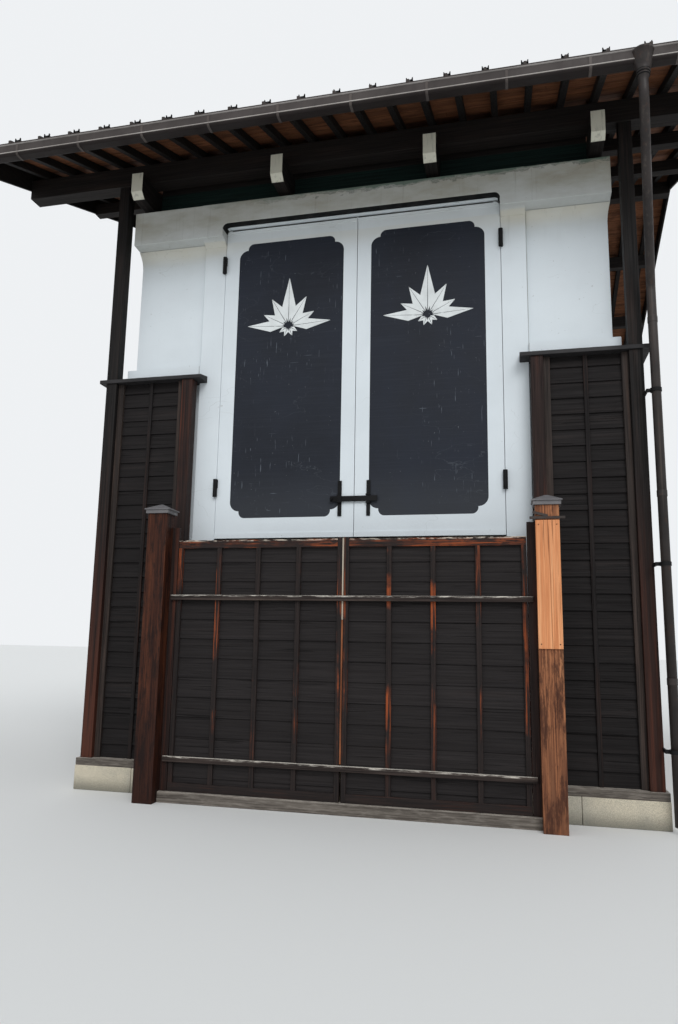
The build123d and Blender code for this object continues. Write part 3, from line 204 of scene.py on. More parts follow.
class Recipe(NodeBench):
    """One material, built up from a first colour with patterns on object coordinates in metres."""

    def __init__(self, name, colour):
        self.material = bpy.data.materials.new(name)
        self.material.use_nodes = True
        super().__init__(self.material.node_tree)
        self.shader = self.tree.nodes["Principled BSDF"]
        self.place = self.node("ShaderNodeTexCoord").outputs["Object"]
        self.colour = colour
        self.relief = None

    def noise(self, scale, stretch=(1, 1, 1), detail=4, roughness=0.55, distortion=0,
              shift=(0, 0, 0)):
        mapping = {"Vector": self.place, "Scale": stretch, "Location": shift}
        return self.node("ShaderNodeTexNoise", {
            "Vector": self.node("ShaderNodeMapping", mapping).outputs["Vector"],
            "Scale": scale,
            "Detail": detail,
            "Roughness": roughness,
            "Distortion": distortion,
        }).outputs["Fac"]

    def ramp(self, factor, start, end):
        """Map a factor smoothly from one (place, number) to another."""
        return self.node("ShaderNodeMapRange", {
            "Value": factor,
            "From Min": start[0],
            "From Max": end[0],
            "To Min": start[1],
            "To Max": end[1],
        }, interpolation_type="SMOOTHSTEP").outputs["Result"]

    def patches(self, start, end, scale, *pattern, **more):
        """Noise taken through a ramp."""
        return self.ramp(self.noise(scale, *pattern, **more), start, end)

    def band(self, value, rise, fall, strength=1):
        """High between a rise and a fall, each given by the two places where it starts and ends."""
        risen = self.ramp(value, (rise[0], 0), (rise[1], strength))
        return self.times(risen, self.ramp(value, (fall[0], 1), (fall[1], 0)))

    def veins(self, scale, stretch, width, detail=4):
        """Thin wandering lines: 1 on a line, 0 elsewhere."""
        level = self.maths("SUBTRACT", self.noise(scale, stretch, detail, 0.5), 0.5)
        return self.ramp(self.maths("ABSOLUTE", level), (0, 1), (width, 0))

    def maths(self, operation, first, second=0.0):
        return self.node("ShaderNodeMath", {0: first, 1: second}, operation=operation).outputs[0]

    def times(self, *factors):
        product = factors[0]
        for factor in factors[1:]:
            product = self.maths("MULTIPLY", product, factor)
        return product

    def most(self, first, second):
        return self.maths("MAXIMUM", first, second)

    def cover(self, colour, *factors, blend="MIX"):
        """Lay a colour over the present one, as far as the product of the factors says."""
        inputs = {"Factor": self.times(*factors), "A": self.colour, "B": colour}
        made = self.node("ShaderNodeMix", inputs, data_type="RGBA", blend_type=blend)
        self.colour = made.outputs["Result"]

    def axis(self, letter):
        return self.node("ShaderNodeSeparateXYZ", {0: self.place}).outputs[letter]

    def facing(self, start, end):
        """A ramp over how far the surface faces up (1), stands upright (0) or faces down (-1)."""
        normal = self.node("ShaderNodeNewGeometry").outputs["Normal"]
        split = self.node("ShaderNodeSeparateXYZ", {0: normal})
        return self.ramp(split.outputs["Z"], start, end)

    def courses(self, letter, pitch, start):
        """A steady random number for each course of boards along an axis."""
        rows = self.maths("DIVIDE", self.maths("SUBTRACT", self.axis(letter), start), pitch)
        inputs = {"W": self.maths("FLOOR", rows)}
        return self.node("ShaderNodeTexWhiteNoise", inputs, noise_dimensions="1D").outputs["Value"]

    def raise_by(self, height, distance):
        inputs = {"Height": height, "Distance": distance}
        if self.relief:
            inputs["Normal"] = self.relief
        self.relief = self.node("ShaderNodeBump", inputs).outputs["Normal"]

    def finish(self, roughness, metallic=0.0, specular=0.4):
        inputs = {
            "Base Color": self.colour,
            "Roughness": roughness,
            "Metallic": metallic,
            "Specular IOR Level": specular,
        }
        if self.relief:
            inputs["Normal"] = self.relief
        for key, value in inputs.items():
            self.feed(self.shader.inputs[key], value)
        return self.material


def made_before(name):
    """The material of that name, or None."""
    return bpy.data.materials.get(name)


def once(make):
    """Look a material up by its name, and make it only where there is none."""
    def look_up(name, *args, **kwargs):
        return made_before(name) or make(name, *args, **kwargs)
    return look_up


@once
def plaster(name, settings, wear=1.0):
    """Lime plaster with trowel waves, dirt and painted shade under the eaves, a painted shadow
    above the ledge, painted shade beside the jambs, and a ragged stain along the top.
    """
    white, grime_and_shade, moss = tuple(settings.white), tuple(settings.grime_and_shade), tuple(settings.moss)
    mix = Recipe(name, white)
    height = mix.axis("Z")
    clouds = mix.patches((0.35, 0), (0.7, 1), 0.9, detail=6)
    mix.cover(shaded(white, 0.93), clouds)
    # Darkening that thickens towards the eaves, partly dirt and partly painted shade under the
    # eaves, a warm band at the cornice's foot, and run marks.
    haze = mix.patches((0.28, 0.62), (0.72, 1), 1.2, (1, 1, 2.4), 7, 0.65, shift=(3, 1, 2))
    mix.cover(grime_and_shade, haze, mix.ramp(height, (5.5, 0), (6.3, 0.9 * wear)))
    warm = mix.band(height, (5.74, 5.95), (5.965, 5.98), 0.55 * wear)
    mix.cover(paint(206, 198, 176), warm, haze)
    streaks = mix.patches((0.56, 0), (0.8, 1), 1, (24, 24, 0.8), 5, 0.7)
    mix.cover(shaded(grime_and_shade, 0.5), streaks, mix.ramp(height, (5.5, 0.04), (6.38, 0.5 * wear)))

    # A ragged stain along the top with a dark outline.
    edge = mix.maths("ADD", height, mix.times(mix.noise(3.2, (1, 1, 2.2), 8, 0.7), 0.26))
    where = mix.patches((0.44, 0), (0.54, 1), 0.42, shift=(1.3, 0, 0))
    mix.cover(moss, mix.ramp(edge, (6.478, 0), (6.5, 1)), where, 0.85)
    mix.cover(shaded(moss, 0.4), mix.band(edge, (6.462, 6.474), (6.474, 6.49)), where, 0.55)

    # Hair cracks and specks.
    zone = mix.patches((0.52, 0), (0.6, 0.3), 0.9, shift=(7, 0, 0))
    mix.cover(shaded(grime_and_shade, 0.5), mix.veins(0.7, (1, 1, 1.8), 0.0012), zone)
    mix.cover(shaded(grime_and_shade, 0.6), mix.patches((0.72, 0), (0.76, 0.3), 34, detail=2))

    # A painted shadow just above the ledge at the foot of the walls, and painted shade in the
    # corner beside each jamb, both made patchy.
    across, depth = mix.maths("ABSOLUTE", mix.axis("X")), mix.axis("Y")
    panels = mix.times(mix.ramp(across, (JAMB_EDGE - 0.0005, 0), (JAMB_EDGE + 0.001, 1)),
                       mix.ramp(depth, (0.1, 1), (0.15, 0)))
    outside = mix.most(mix.ramp(across, (2.5, 0), (2.55, 1)), mix.ramp(depth, (7.6, 0), (7.7, 1)))
    ledge = mix.band(height, (LEDGE - 0.002, LEDGE + 0.002), (LEDGE + 0.008, LEDGE + 0.02))
    ledge = mix.times(ledge, mix.most(panels, outside))
    corner = mix.times(panels, mix.ramp(across, (JAMB_EDGE + 0.003, 1), (JAMB_EDGE + 0.011, 0)),
                       mix.ramp(height, (5.96, 1), (5.97, 0)))
    uneven = mix.patches((0.3, 0.3), (0.6, 0.75), 2.2, (1, 1, 0.6), 5, shift=(4, 4, 0))
    mix.cover(shaded(grime_and_shade, 0.55), mix.most(ledge, corner), uneven)
    mix.raise_by(mix.noise(2.4, detail=3), 0.004)
    mix.raise_by(mix.noise(60), 0.0006)
    return mix.finish(mix.ramp(clouds, (0, 0.78), (1, 0.9)))


@once
def lacquer(name, base):
    """Black panel coat with brush marks, pale scratches and fine sagging cracks."""
    mix = Recipe(name, shaded(base, 0.75))
    clouds = mix.patches((0.3, 0), (0.75, 1), 1.1, (1, 1, 0.7), 7, 0.6)
    mix.cover(shaded(base, 1.3), clouds)
    # Painted sunlight: the panels grow lighter towards the bottom, below 3.4 m.
    mix.cover(paint(84, 86, 88), mix.ramp(mix.axis("Z"), (2.8, 0.22), (3.4, 0)))
    brushed = mix.noise(1, (1.5, 1.5, 70), 3)
    mix.cover(paint(66, 71, 80), mix.ramp(brushed, (0.45, 0), (0.8, 0.13)))
    zone = mix.patches((0.46, 0), (0.6, 1), 1.5, shift=(2, 0, 5))
    tall = mix.patches((0.7, 0), (0.74, 1), 1, (95, 95, 7), 2, 0.4)
    flat = mix.patches((0.72, 0), (0.75, 1), 1, (5, 5, 110), 2, 0.4, shift=(4, 0, 1))
    mix.cover(paint(158, 168, 180), mix.most(tall, flat), zone, 0.24)
    mix.cover(paint(140, 146, 150), mix.patches((0.78, 0), (0.81, 0.4), 70, (1, 1, 0.5), 1))
    cracked = mix.patches((0.45, 0), (0.6, 0.3), 0.9, shift=(0, 0, 3))
    mix.cover(paint(96, 102, 108), mix.veins(0.8, (1, 1, 2.6), 0.0022, 5), cracked)
    mix.raise_by(mix.noise(3), 0.002)
    mix.raise_by(brushed, 0.0005)
    return mix.finish(mix.ramp(clouds, (0, 0.5), (1, 0.66)), specular=0.2)


def along(grain, length, width):
    """Pattern scale that is drawn out along the grain."""
    return tuple(length if letter == grain else width for letter in "XYZ")


@once
def timber(name, shades, grain="X", wear=0.35, roughness=0.7, sunlit_and_worn_tops=None, tone=None,
           foot=None, edges=(), blotches=0.0, shade_on_left=None, specular=0.22):
    """Sawn timber: straight grain, drying cracks, worn streaks, pale tops that are partly weathered
    where rain falls and partly painted sunlight, and painted shade on the left where asked.
    """
    dark, middle, light = shades
    mix = Recipe(name, dark)
    fine = mix.noise(1, along(grain, 1.6, 95), 5, 0.6, 0.2)
    broad = mix.noise(1, along(grain, 0.5, 26), 6, 0.65, 0.25, (5, 3, 1))
    patch = mix.patches((0.4, 0.08), (0.64, 1), 1.5, along(grain, 0.7, 1.5), 5, shift=(1, 4, 2))
    mix.cover(middle, mix.ramp(fine, (0.3, 0), (0.7, 1)))
    mix.cover(light, mix.ramp(broad, (0.44, 0), (0.66, 1)), patch, wear)
    if foot:
        level, stain = foot
        low = mix.ramp(mix.axis("Z"), (0.2, 0.8), (level, 0))
        mix.cover(stain, low, mix.ramp(broad, (0.4, 0.35), (0.6, 1)))
    if blotches:
        marks = mix.patches((0.47, 0), (0.6, 1), 5, along(grain, 0.5, 2.6), 8, 0.75,
                            shift=(6, 2, 9))
        mix.cover(shaded(dark, 0.55), marks, blotches)
        specks = mix.patches((0.6, 0), (0.7, 1), 1, along(grain, 14, 120), 3, 0.6, shift=(1, 2, 3))
        mix.cover(shaded(dark, 0.5), specks, blotches)
    # Painted shade: left of the middle the wood is darkened, which makes the left sign post darker
    # than the right.
    if shade_on_left:
        mix.cover(shade_on_left, mix.ramp(mix.axis("X"), (-0.5, 1), (0.5, 0)), blend="MULTIPLY")
    if tone:
        mix.cover(shaded(dark, 0.8), mix.ramp(mix.courses(*tone), (0, 0), (1, 0.45)))
    cracks = mix.patches((0.63, 0), (0.7, 0.75), 1, along(grain, 1.1, 75), 3, shift=(8, 8, 8))
    mix.cover(shaded(dark, 0.35), cracks)
    # Pale tops: partly weathering and partly painted sunlight, on faces that look up and along the
    # top edges of the rails.
    if sunlit_and_worn_tops:
        worn = mix.times(mix.facing((0.2, 0), (0.75, 1)), mix.patches((0.3, 0.4), (0.6, 1), 9))
        flakes = mix.patches((0.48, 0), (0.62, 1), 1, along(grain, 6, 60), 6, 0.72, shift=(3, 9, 4))
        height = mix.axis("Z")
        for top in edges:
            rim = mix.band(height, (top - 0.022, top - 0.004), (top, top + 0.01), 0.95)
            worn = mix.most(worn, mix.times(rim, flakes))
        if not edges:
            worn = mix.most(worn, mix.times(flakes, 0.28))
        mix.cover(sunlit_and_worn_tops, worn)
    mix.raise_by(fine, 0.0012)
    mix.raise_by(mix.ramp(cracks, (0, 1), (0.75, 0)), 0.002)
    return mix.finish(mix.ramp(fine, (0.3, roughness + 0.12), (0.7, roughness - 0.08)),
                      specular=specular)


@once
def worn_batten(name, settings, grain="Z", chips=0.0):
    """Black stick, rubbed down to red wood on its arrises, with chips along a weathered top."""
    mix = Recipe(name, shaded(settings.charred, 0.7))
    fine = mix.noise(1, along(grain, 2.2, 70), 6, 0.7, 0.3)
    mix.cover(paint(46, 36, 33), mix.ramp(fine, (0.3, 0), (0.75, 1)))
    height = mix.axis("Z")
    streak = mix.patches((0.47, 0), (0.62, 1), 1, along(grain, 1.1, 48), 6, 0.7, shift=(2, 7, 3))
    zone = mix.patches((0.45, 0), (0.6, 0.95), 1.3, along(grain, 1.7, 1.8), 5, shift=(9, 2, 6))
    # The rubbed wood fades out towards the foot, which keeps the lower ends dark as painted shade.
    zone = mix.times(zone, mix.ramp(height, (0.3, 0.05), (0.9, 1)))
    mix.cover(tuple(settings.rubbed), streak, zone)
    if chips:
        bared = mix.patches((0.47, 0.08), (0.62, 1), 1.6, (1, 1, 0.3), shift=(0, 0, 6))
        flakes = mix.patches((0.46, 0), (0.56, 1), 1, along(grain, 11, 60), 6, 0.75,
                             shift=(4, 4, 4))
        upper = mix.ramp(height, (SKIRT_TOP - 0.11, 0), (SKIRT_TOP - 0.02, 1))
        mix.cover(paint(142, 72, 40), flakes, bared, upper, 0.75)
        arris = mix.ramp(height, (SKIRT_TOP - 0.02, 0), (SKIRT_TOP - 0.008, 1))
        mix.cover(paint(206, 196, 180), arris, mix.ramp(flakes, (0.2, 0), (0.8, 1)), chips)
    mix.raise_by(fine, 0.0012)
    return mix.finish(mix.ramp(fine, (0.3, 0.82), (0.7, 0.66)), specular=0.2)


@once
def metal(name, colour, second, roughness=0.5, metallic=0.0, streak=(30, 30, 1.5), rust=0.0,
          runs=0.35, pale=None, specular=0.3, underside=0.0):
    """Painted or bare sheet with run marks, dull patches and a little rust."""
    mix = Recipe(name, colour)
    clouds = mix.noise(2.5, detail=6, roughness=0.65)
    mix.cover(second, mix.ramp(clouds, (0.3, 0), (0.7, 1)))
    mix.cover(pale or shaded(colour, 0.6), mix.patches((0.5, 0), (0.75, runs), 1, streak))
    if rust:
        spots = mix.patches((0.56, 0), (0.68, 1), 14, detail=6, roughness=0.7)
        mix.cover(paint(92, 56, 38), spots, rust)
    # Painted shade on faces that look down.
    if underside:
        mix.cover(paint(24, 17, 16), mix.facing((-0.45, underside), (-0.1, 0)))
    mix.raise_by(mix.noise(5, detail=3), 0.002)
    dull = mix.ramp(clouds, (0.3, roughness), (0.7, roughness + 0.2))
    return mix.finish(dull, metallic, specular)


@once
def stone(name):
    """Dressed stone, sandy where it is dry, with dark grains and damp along its foot."""
    mix = Recipe(name, paint(170, 162, 144))
    grains = mix.noise(160, detail=2, roughness=0.8)
    mix.cover(paint(220, 210, 188), mix.ramp(grains, (0.35, 0), (0.65, 1)))
    mix.cover(paint(136, 137, 132), mix.patches((0.45, 0), (0.75, 0.5), 1.6, detail=5))
    mix.cover(paint(82, 84, 78), mix.ramp(mix.axis("Z"), (0.0, 0.7), (0.16, 0)))
    mix.raise_by(grains, 0.0015)
    mix.raise_by(mix.noise(9), 0.004)
    return mix.finish(mix.ramp(grains, (0.3, 0.75), (0.7, 0.92)))


@once
def earth(name):
    """Beaten earth and lime, pale where it has been swept."""
    mix = Recipe(name, paint(112, 100, 84))
    clouds = mix.noise(2, detail=7, roughness=0.6)
    mix.cover(paint(150, 138, 118), mix.ramp(clouds, (0.3, 0), (0.7, 1)))
    grit = mix.noise(90, detail=3)
    mix.cover(paint(86, 78, 68), mix.ramp(grit, (0.55, 0), (0.75, 0.5)))
    mix.raise_by(grit, 0.002)
    mix.raise_by(clouds, 0.006)
    return mix.finish(0.93)


@once
def mottled(name, colour, second, start, end, pattern, roughness, relief=0.0, specular=0.4):
    """Matt paint in two shades, after one noise pattern."""
    mix = Recipe(name, colour)
    clouds = mix.noise(*pattern)
    mix.cover(second, mix.ramp(clouds, start, end))
    if relief:
        mix.raise_by(clouds, relief)
    return mix.finish(roughness, specular=specular)


def black_boards(settings, name="charred_boards", pitch=None, start=BOARDS_START, lift=1.0):
    """The finish of charred boards, a little different from course to course."""
    base = shaded(settings.charred, lift)
    tone = ("Z", pitch or settings.exposure, start)
    return timber(name, (shaded(base, 0.62), base, paint(58, 51, 49)), "X", 0.4 / lift, 0.74,
                  tone=tone, specular=0.16)


def dress(material, *names):
    """Give nodes of the frame their finish."""
    for name in names:
        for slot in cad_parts[name].material_slots:
            slot.material = material


def soften(width, *names):
    """Round the arrises of nodes of the frame, with their meshes left as they are."""
    for name in names:
        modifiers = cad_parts[name].modifiers
        modifiers.new("weld", "WELD").merge_threshold = 0.00002
        edges = modifiers.new("arris", "BEVEL")
        edges.width = width
        edges.segments = 2
        edges.limit_method = "ANGLE"
        edges.angle_limit = math.radians(38)
        edges.use_clamp_overlap = True


def block(bm, corner, opposite, matrix=None):
    """A box between two opposite corners, and its vertices."""
    one, two = Vector(corner), Vector(opposite)
    size = [abs(length) for length in two - one]
    place = Matrix.Translation((one + two) / 2) @ Matrix.Diagonal((*size, 1))
    made = bmesh.ops.create_cube(bm, size=1, matrix=place)["verts"]
    if matrix:
        bmesh.ops.transform(bm, matrix=matrix, verts=made)
    return made


def new_verts(geometry):
    """The vertices among the geometry that an operator made."""
    return [g for g in geometry if isinstance(g, bmesh.types.BMVert)]


def prism(bm, corners, depth):
    """A face through the corners, carried along a vector, and the vertices at its far end."""
    face = bm.faces.new([bm.verts.new(corner) for corner in corners])
    fresh = new_verts(bmesh.ops.extrude_face_region(bm, geom=[face], use_keep_orig=True)["geom"])
    bmesh.ops.translate(bm, verts=fresh, vec=depth)
    return fresh


def disc(bm, centre, radius, depth, axis=Z_AXIS, sides=24, top=None):
    """A cylinder, or a cone when top is given, along an axis."""
    turn = axis.to_track_quat("Z", "Y").to_matrix().to_4x4()
    return bmesh.ops.create_cone(
        bm,
        cap_ends=True,
        segments=sides,
        radius1=radius,
        radius2=radius if top is None else top,
        depth=depth,
        matrix=Matrix.Translation(centre) @ turn,
    )["verts"]


def bevel_all(bm, width, segments=1, keep=None):
    """Ease every sharp edge of the mesh, apart from those that keep picks."""
    sharp = [e for e in bm.edges if e.is_manifold and e.calc_face_angle(0) > math.radians(30)]
    if keep:
        sharp = [e for e in sharp if not keep(e)]
    bmesh.ops.bevel(bm, geom=sharp, offset=width, segments=segments, profile=0.5,
                    affect="EDGES", material=-1)


def finish_piece(bm, name, slot, *materials, body=HOUSE, ease=0.0, segments=1, replaces=None,
                 smooth=False):
    """Ease the edges, and turn the mesh into a named piece that rides on a body."""
    if ease:
        bevel_all(bm, ease, segments)
    bmesh.ops.recalc_face_normals(bm, faces=bm.faces)
    mesh = bpy.data.meshes.new(name)
    bm.to_mesh(mesh)
    bm.free()
    for material in materials:
        mesh.materials.append(material)
    if smooth:
        mesh.shade_smooth()
    piece = bpy.data.objects.new(name, mesh)
    bpy.context.scene.collection.objects.link(piece)
    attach(piece, body)
    if replaces:
        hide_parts(replaces)


def board_run(bm, corner, along, outward, length, low, high, first, pitch, sizes, dice, joints=1):
    """Courses of lapped boards, thick at the foot, thin at the head and butted along the wall."""
    thin, thick = sizes
    turn = Matrix((along, outward, Z_AXIS)).transposed().to_4x4()
    edge, course = low, first
    while edge < high - 0.001:
        top = min(course, high)
        for part in range(joints):
            nudge = dice.uniform(-0.0015, 0.0015)
            place = Vector(corner) + along * (length * part / joints + 0.001) + outward * nudge
            place.z = edge
            size = Vector((length / joints - 0.002, thick, top - edge))
            board = block(bm, (0, 0, 0), size, Matrix.Translation(place) @ turn)
            middle = place + outward * thick / 2 + Z_AXIS * size.z / 2
            head = [v for v in board if (v.co - middle).dot(outward) > 0 and v.co.z > middle.z]
            bmesh.ops.translate(bm, verts=head, vec=outward * (thin - thick))
        edge = top
        course = top + pitch


def head_outline(drop, start=0.0, taper=0.0):
    """The rounded head of the doorway from left to right, lowered by a thickness.

    The thickness may taper into the corners, which begin at the start angle.
    """
    right = []
    for step in range(10):
        share = step / 9
        angle = start + (math.pi / 2 - start) * share
        radius = HEAD_CORNER - drop + taper * (1 - share)
        x = DOORWAY - HEAD_CORNER + radius * math.cos(angle)
        right.append((x, HEAD - HEAD_CORNER + radius * math.sin(angle)))
    return [(-x, z) for x, z in right] + right[::-1]


def grow(bm, edges):
    """Extrude a ring of edges in place, and return the vertices and the edges of the new ring."""
    grown = bmesh.ops.extrude_edge_only(bm, edges=edges)["geom"]
    fresh = new_verts(grown)
    ring = [g for g in grown if isinstance(g, bmesh.types.BMEdge) and set(g.verts) <= set(fresh)]
    return fresh, ring


class STOREHOUSE_OT_frame_finishes(bpy.types.Operator):
    """Give every node of the frame its finish and ease its edges"""

    bl_idname = "storehouse.frame_finishes"
    bl_label = "Frame finishes"

    dark = paint(20, 17, 16), paint(34, 29, 27), paint(60, 48, 42)
    cedar = paint(74, 40, 28), paint(172, 112, 74), paint(222, 156, 108)
    trim = paint(22, 15, 14), paint(42, 27, 23), paint(92, 48, 32)
    corner = paint(14, 13, 13), paint(25, 22, 21), paint(60, 46, 40)
    rail = paint(30, 25, 24), paint(58, 48, 44), paint(112, 98, 88)
    sill = paint(66, 60, 55), paint(104, 97, 90), paint(146, 138, 128)
    planed = paint(186, 114, 70), paint(226, 152, 102), paint(242, 184, 136)
    green = paint(8, 22, 20), paint(14, 36, 32), paint(30, 50, 46)

    def walls_and_leaves(self, lime, doors):
        dress(plaster("lime_plaster", lime), "left_wall", "right_wall", "back_wall",
              "front_wall_left", "front_wall_right", "front_lintel", "cornice_front",
              "cornice_back", "ceiling")
        dress(plaster("leaf_plaster", lime, 0.45), "left_door", "right_door")
        dress(lacquer("panel_lacquer", tuple(doors.lacquer)), "left_door_panel", "right_door_panel")
        dress(stone("foundation_stone"), "foundation")
        dress(earth("beaten_earth"), "floor")
        soften(lime.arris, "cornice_back", "front_wall_left", "front_wall_right",
               "left_door", "right_door")

    def woodwork(self, boards, soffit):
        dress(timber("dark_timber_x", self.dark), "door_sill", "eave_plates", "purlins",
              "ridge_beam", "fascias")
        # A darker copy of the dark timber for the beams, rafters and bargeboards: painted shade, as
        # under the eaves.
        eave_shade_dark = [shaded(tone, 0.55) for tone in self.dark]
        dress(timber("dark_timber_y", eave_shade_dark, "Y"), "roof_beams", "rafters", "bargeboards")
        dress(timber("dark_timber_z", self.dark, "Z"), "roof_struts")
        dress(timber("corner_timber", self.corner, "Z", 0.5, foot=(3.6, paint(86, 46, 32))),
              "corner_posts")
        dress(timber("cedar_post", self.cedar, "Z", 0.8, 0.62, foot=(1.2, paint(84, 50, 36)),
                     blotches=0.8, shade_on_left=(0.14, 0.09, 0.075)), "sign_posts")
        dress(timber("cedar_trim", self.trim, "Z", 0.6, 0.66), "trim_posts", "skirt_side_members")
        dress(timber("weathered_rail", self.rail, "X", 0.5, 0.78, paint(214, 207, 196),
                     edges=RAIL_TOPS), "skirt_rails")
        dress(timber("weathered_sill", self.sill, "X", 0.6, 0.8, paint(168, 160, 150)),
              "skirt_sill", "ground_sills")
        dress(timber("new_board", self.planed, "Z", 0.6, 0.5), "name_board")
        dress(timber("green_board", self.green), "eave_infill")
        dress(black_boards(boards), "weatherboards", "left_skirt_panel", "right_skirt_panel")
        tones = shaded(soffit, 0.45), soffit, shaded(soffit, 1.5)
        dress(timber("soffit_boards", tones, "X", 0.6), "roof_boards")
        soften(0.004, "sign_posts", "trim_posts", "corner_posts", "roof_beams", "eave_plates",
               "purlins", "rafters", "skirt_rails", "skirt_sill", "skirt_side_members",
               "name_board", "bargeboards", "fascias", "ground_sills")
        soften(0.002, "roof_struts")

    def metalwork(self, iron, gutter, sheet):
        dress(metal("forged_iron", iron, shaded(iron, 0.7), 0.6, specular=0.15),
              "left_hinges", "right_hinges", "hinge_pins", "left_bolt_plate", "right_bolt_plate",
              "bolt_bar", "snow_stops", "pipe_brackets")
        dress(metal("strap_iron", paint(70, 63, 59), paint(48, 42, 40), 0.6, 0.1, rust=0.4),
              "post_straps")
        dress(metal("grey_cap", paint(122, 120, 121), paint(98, 96, 98), 0.5, 0.1), "post_caps")
        dress(metal("coated_sheet", gutter, shaded(gutter, 0.72), specular=0.15, underside=0.8),
              "front_gutter", "back_gutter")
        dress(metal("strap_sheet", paint(88, 80, 76), paint(70, 63, 60)), "gutter_straps")
        dress(metal("pipe_sheet", paint(50, 44, 42), paint(38, 34, 33), 0.42, 0.0, (34, 34, 0.7),
                    0.2, 0.3, paint(104, 92, 84)), "downpipe")
        dress(metal("cap_sheet", paint(46, 44, 45), paint(32, 31, 32), 0.55, 0.0, (1.5, 1.5, 20)),
              "drip_caps")
        dress(metal("roof_sheet", sheet, shaded(sheet, 0.75), 0.6, 0.0, (2, 2, 9)),
              "roof_sheets", "ridge_cap")
        soften(0.004, "drip_caps", "left_bolt_plate", "right_bolt_plate", "bolt_bar")
        soften(0.002, "post_caps", "post_straps", "left_hinges", "right_hinges", "hinge_pins")

    def execute(self, context):
        scene = context.scene
        doors, eaves = scene.storehouse_doors, scene.storehouse_eaves
        self.walls_and_leaves(scene.storehouse_plaster, doors)
        self.woodwork(scene.storehouse_boards, tuple(eaves.soffit))
        self.metalwork(tuple(doors.iron), tuple(eaves.gutter), tuple(eaves.sheet))
        return {"FINISHED"}


class STOREHOUSE_OT_weatherboards(bpy.types.Operator):
    """Lay charred weatherboards in courses, with edge boards at the posts and battens between"""

    bl_idname = "storehouse.weatherboards"
    bl_label = "Weatherboards"

    front_y = -0.06
    edge_width = 0.065
    edge_depth = 0.025
    batten_half = 0.02
    batten_depth = 0.014

    def stick(self, bm, wall, start, end, depth):
        """An upright stick over the boards of a wall, from one place to another along it."""
        runs_along_y, plane, outward = wall
        face = plane + outward * (self.face + depth)
        if runs_along_y:
            block(bm, (plane, start, self.low), (face, end, self.high))
        else:
            block(bm, (start, plane, self.low), (end, face, self.high))

    def edge_board(self, bm, wall, start, way):
        self.stick(bm, wall, start, start + way * self.edge_width, self.edge_depth)

    def batten(self, bm, wall, place):
        self.stick(bm, wall, place - self.batten_half, place + self.batten_half, self.batten_depth)

    def execute(self, context):
        settings = context.scene.storehouse_boards
        self.face = settings.thick
        self.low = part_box("ground_sills")[1].z
        self.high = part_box("drip_caps")[0].z
        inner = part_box("trim_posts")[1].x
        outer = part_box("corner_posts")[1].x - POST_WIDTH
        side_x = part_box("weatherboards")[1].x - settings.thick
        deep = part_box("corner_posts")[0].y + POST_WIDTH
        depth = back(deep) - deep
        rest = (self.low, self.high, BOARDS_START + settings.exposure, settings.exposure,
                (settings.thin, settings.thick), random.Random(11))
        bm = bmesh.new()
        for start in (-outer, inner):
            board_run(bm, (start, self.front_y, 0), X_AXIS, -Y_AXIS, outer - inner, *rest)
        board_run(bm, (-outer, back(self.front_y), 0), X_AXIS, Y_AXIS, 2 * outer, *rest, 3)
        for side in SIDES:
            board_run(bm, (side * side_x, deep, 0), Y_AXIS, side * X_AXIS, depth, *rest, 4)
        finish_piece(bm, "lapped_weatherboards", "black_boards", black_boards(settings),
                     ease=settings.arris, replaces="weatherboards")

        front = (False, self.front_y, -1)
        rear = (False, back(self.front_y), 1)
        flanks = [(True, side * side_x, side) for side in SIDES]
        bm = bmesh.new()
        for side in SIDES:
            self.edge_board(bm, front, side * inner, side)
            self.edge_board(bm, front, side * outer, -side)
            self.edge_board(bm, rear, side * outer, -side)
        for wall in flanks:
            self.edge_board(bm, wall, deep, 1)
            self.edge_board(bm, wall, back(deep), -1)
        shades = paint(30, 26, 25), paint(54, 46, 42), paint(86, 70, 62)
        brown = timber("edge_timber", shades, "Z", 0.6, 0.72)
        finish_piece(bm, "edge_boards", "dark_timber", brown, ease=0.003)

        bm = bmesh.new()
        for side in SIDES:
            self.batten(bm, front, side * (inner + outer) / 2)
        for step in range(1, 6):
            self.batten(bm, rear, outer * (step / 3 - 1))
        for wall in flanks:
            for step in range(1, 8):
                self.batten(bm, wall, deep + depth * step / 8)
        shades = shaded(settings.charred, 0.6), tuple(settings.charred), paint(72, 48, 38)
        charred = timber("charred_batten", shades, "Z", 0.5, 0.74, specular=0.16)
        finish_piece(bm, "cover_battens", "black_boards", charred, ease=settings.arris)
        return {"FINISHED"}


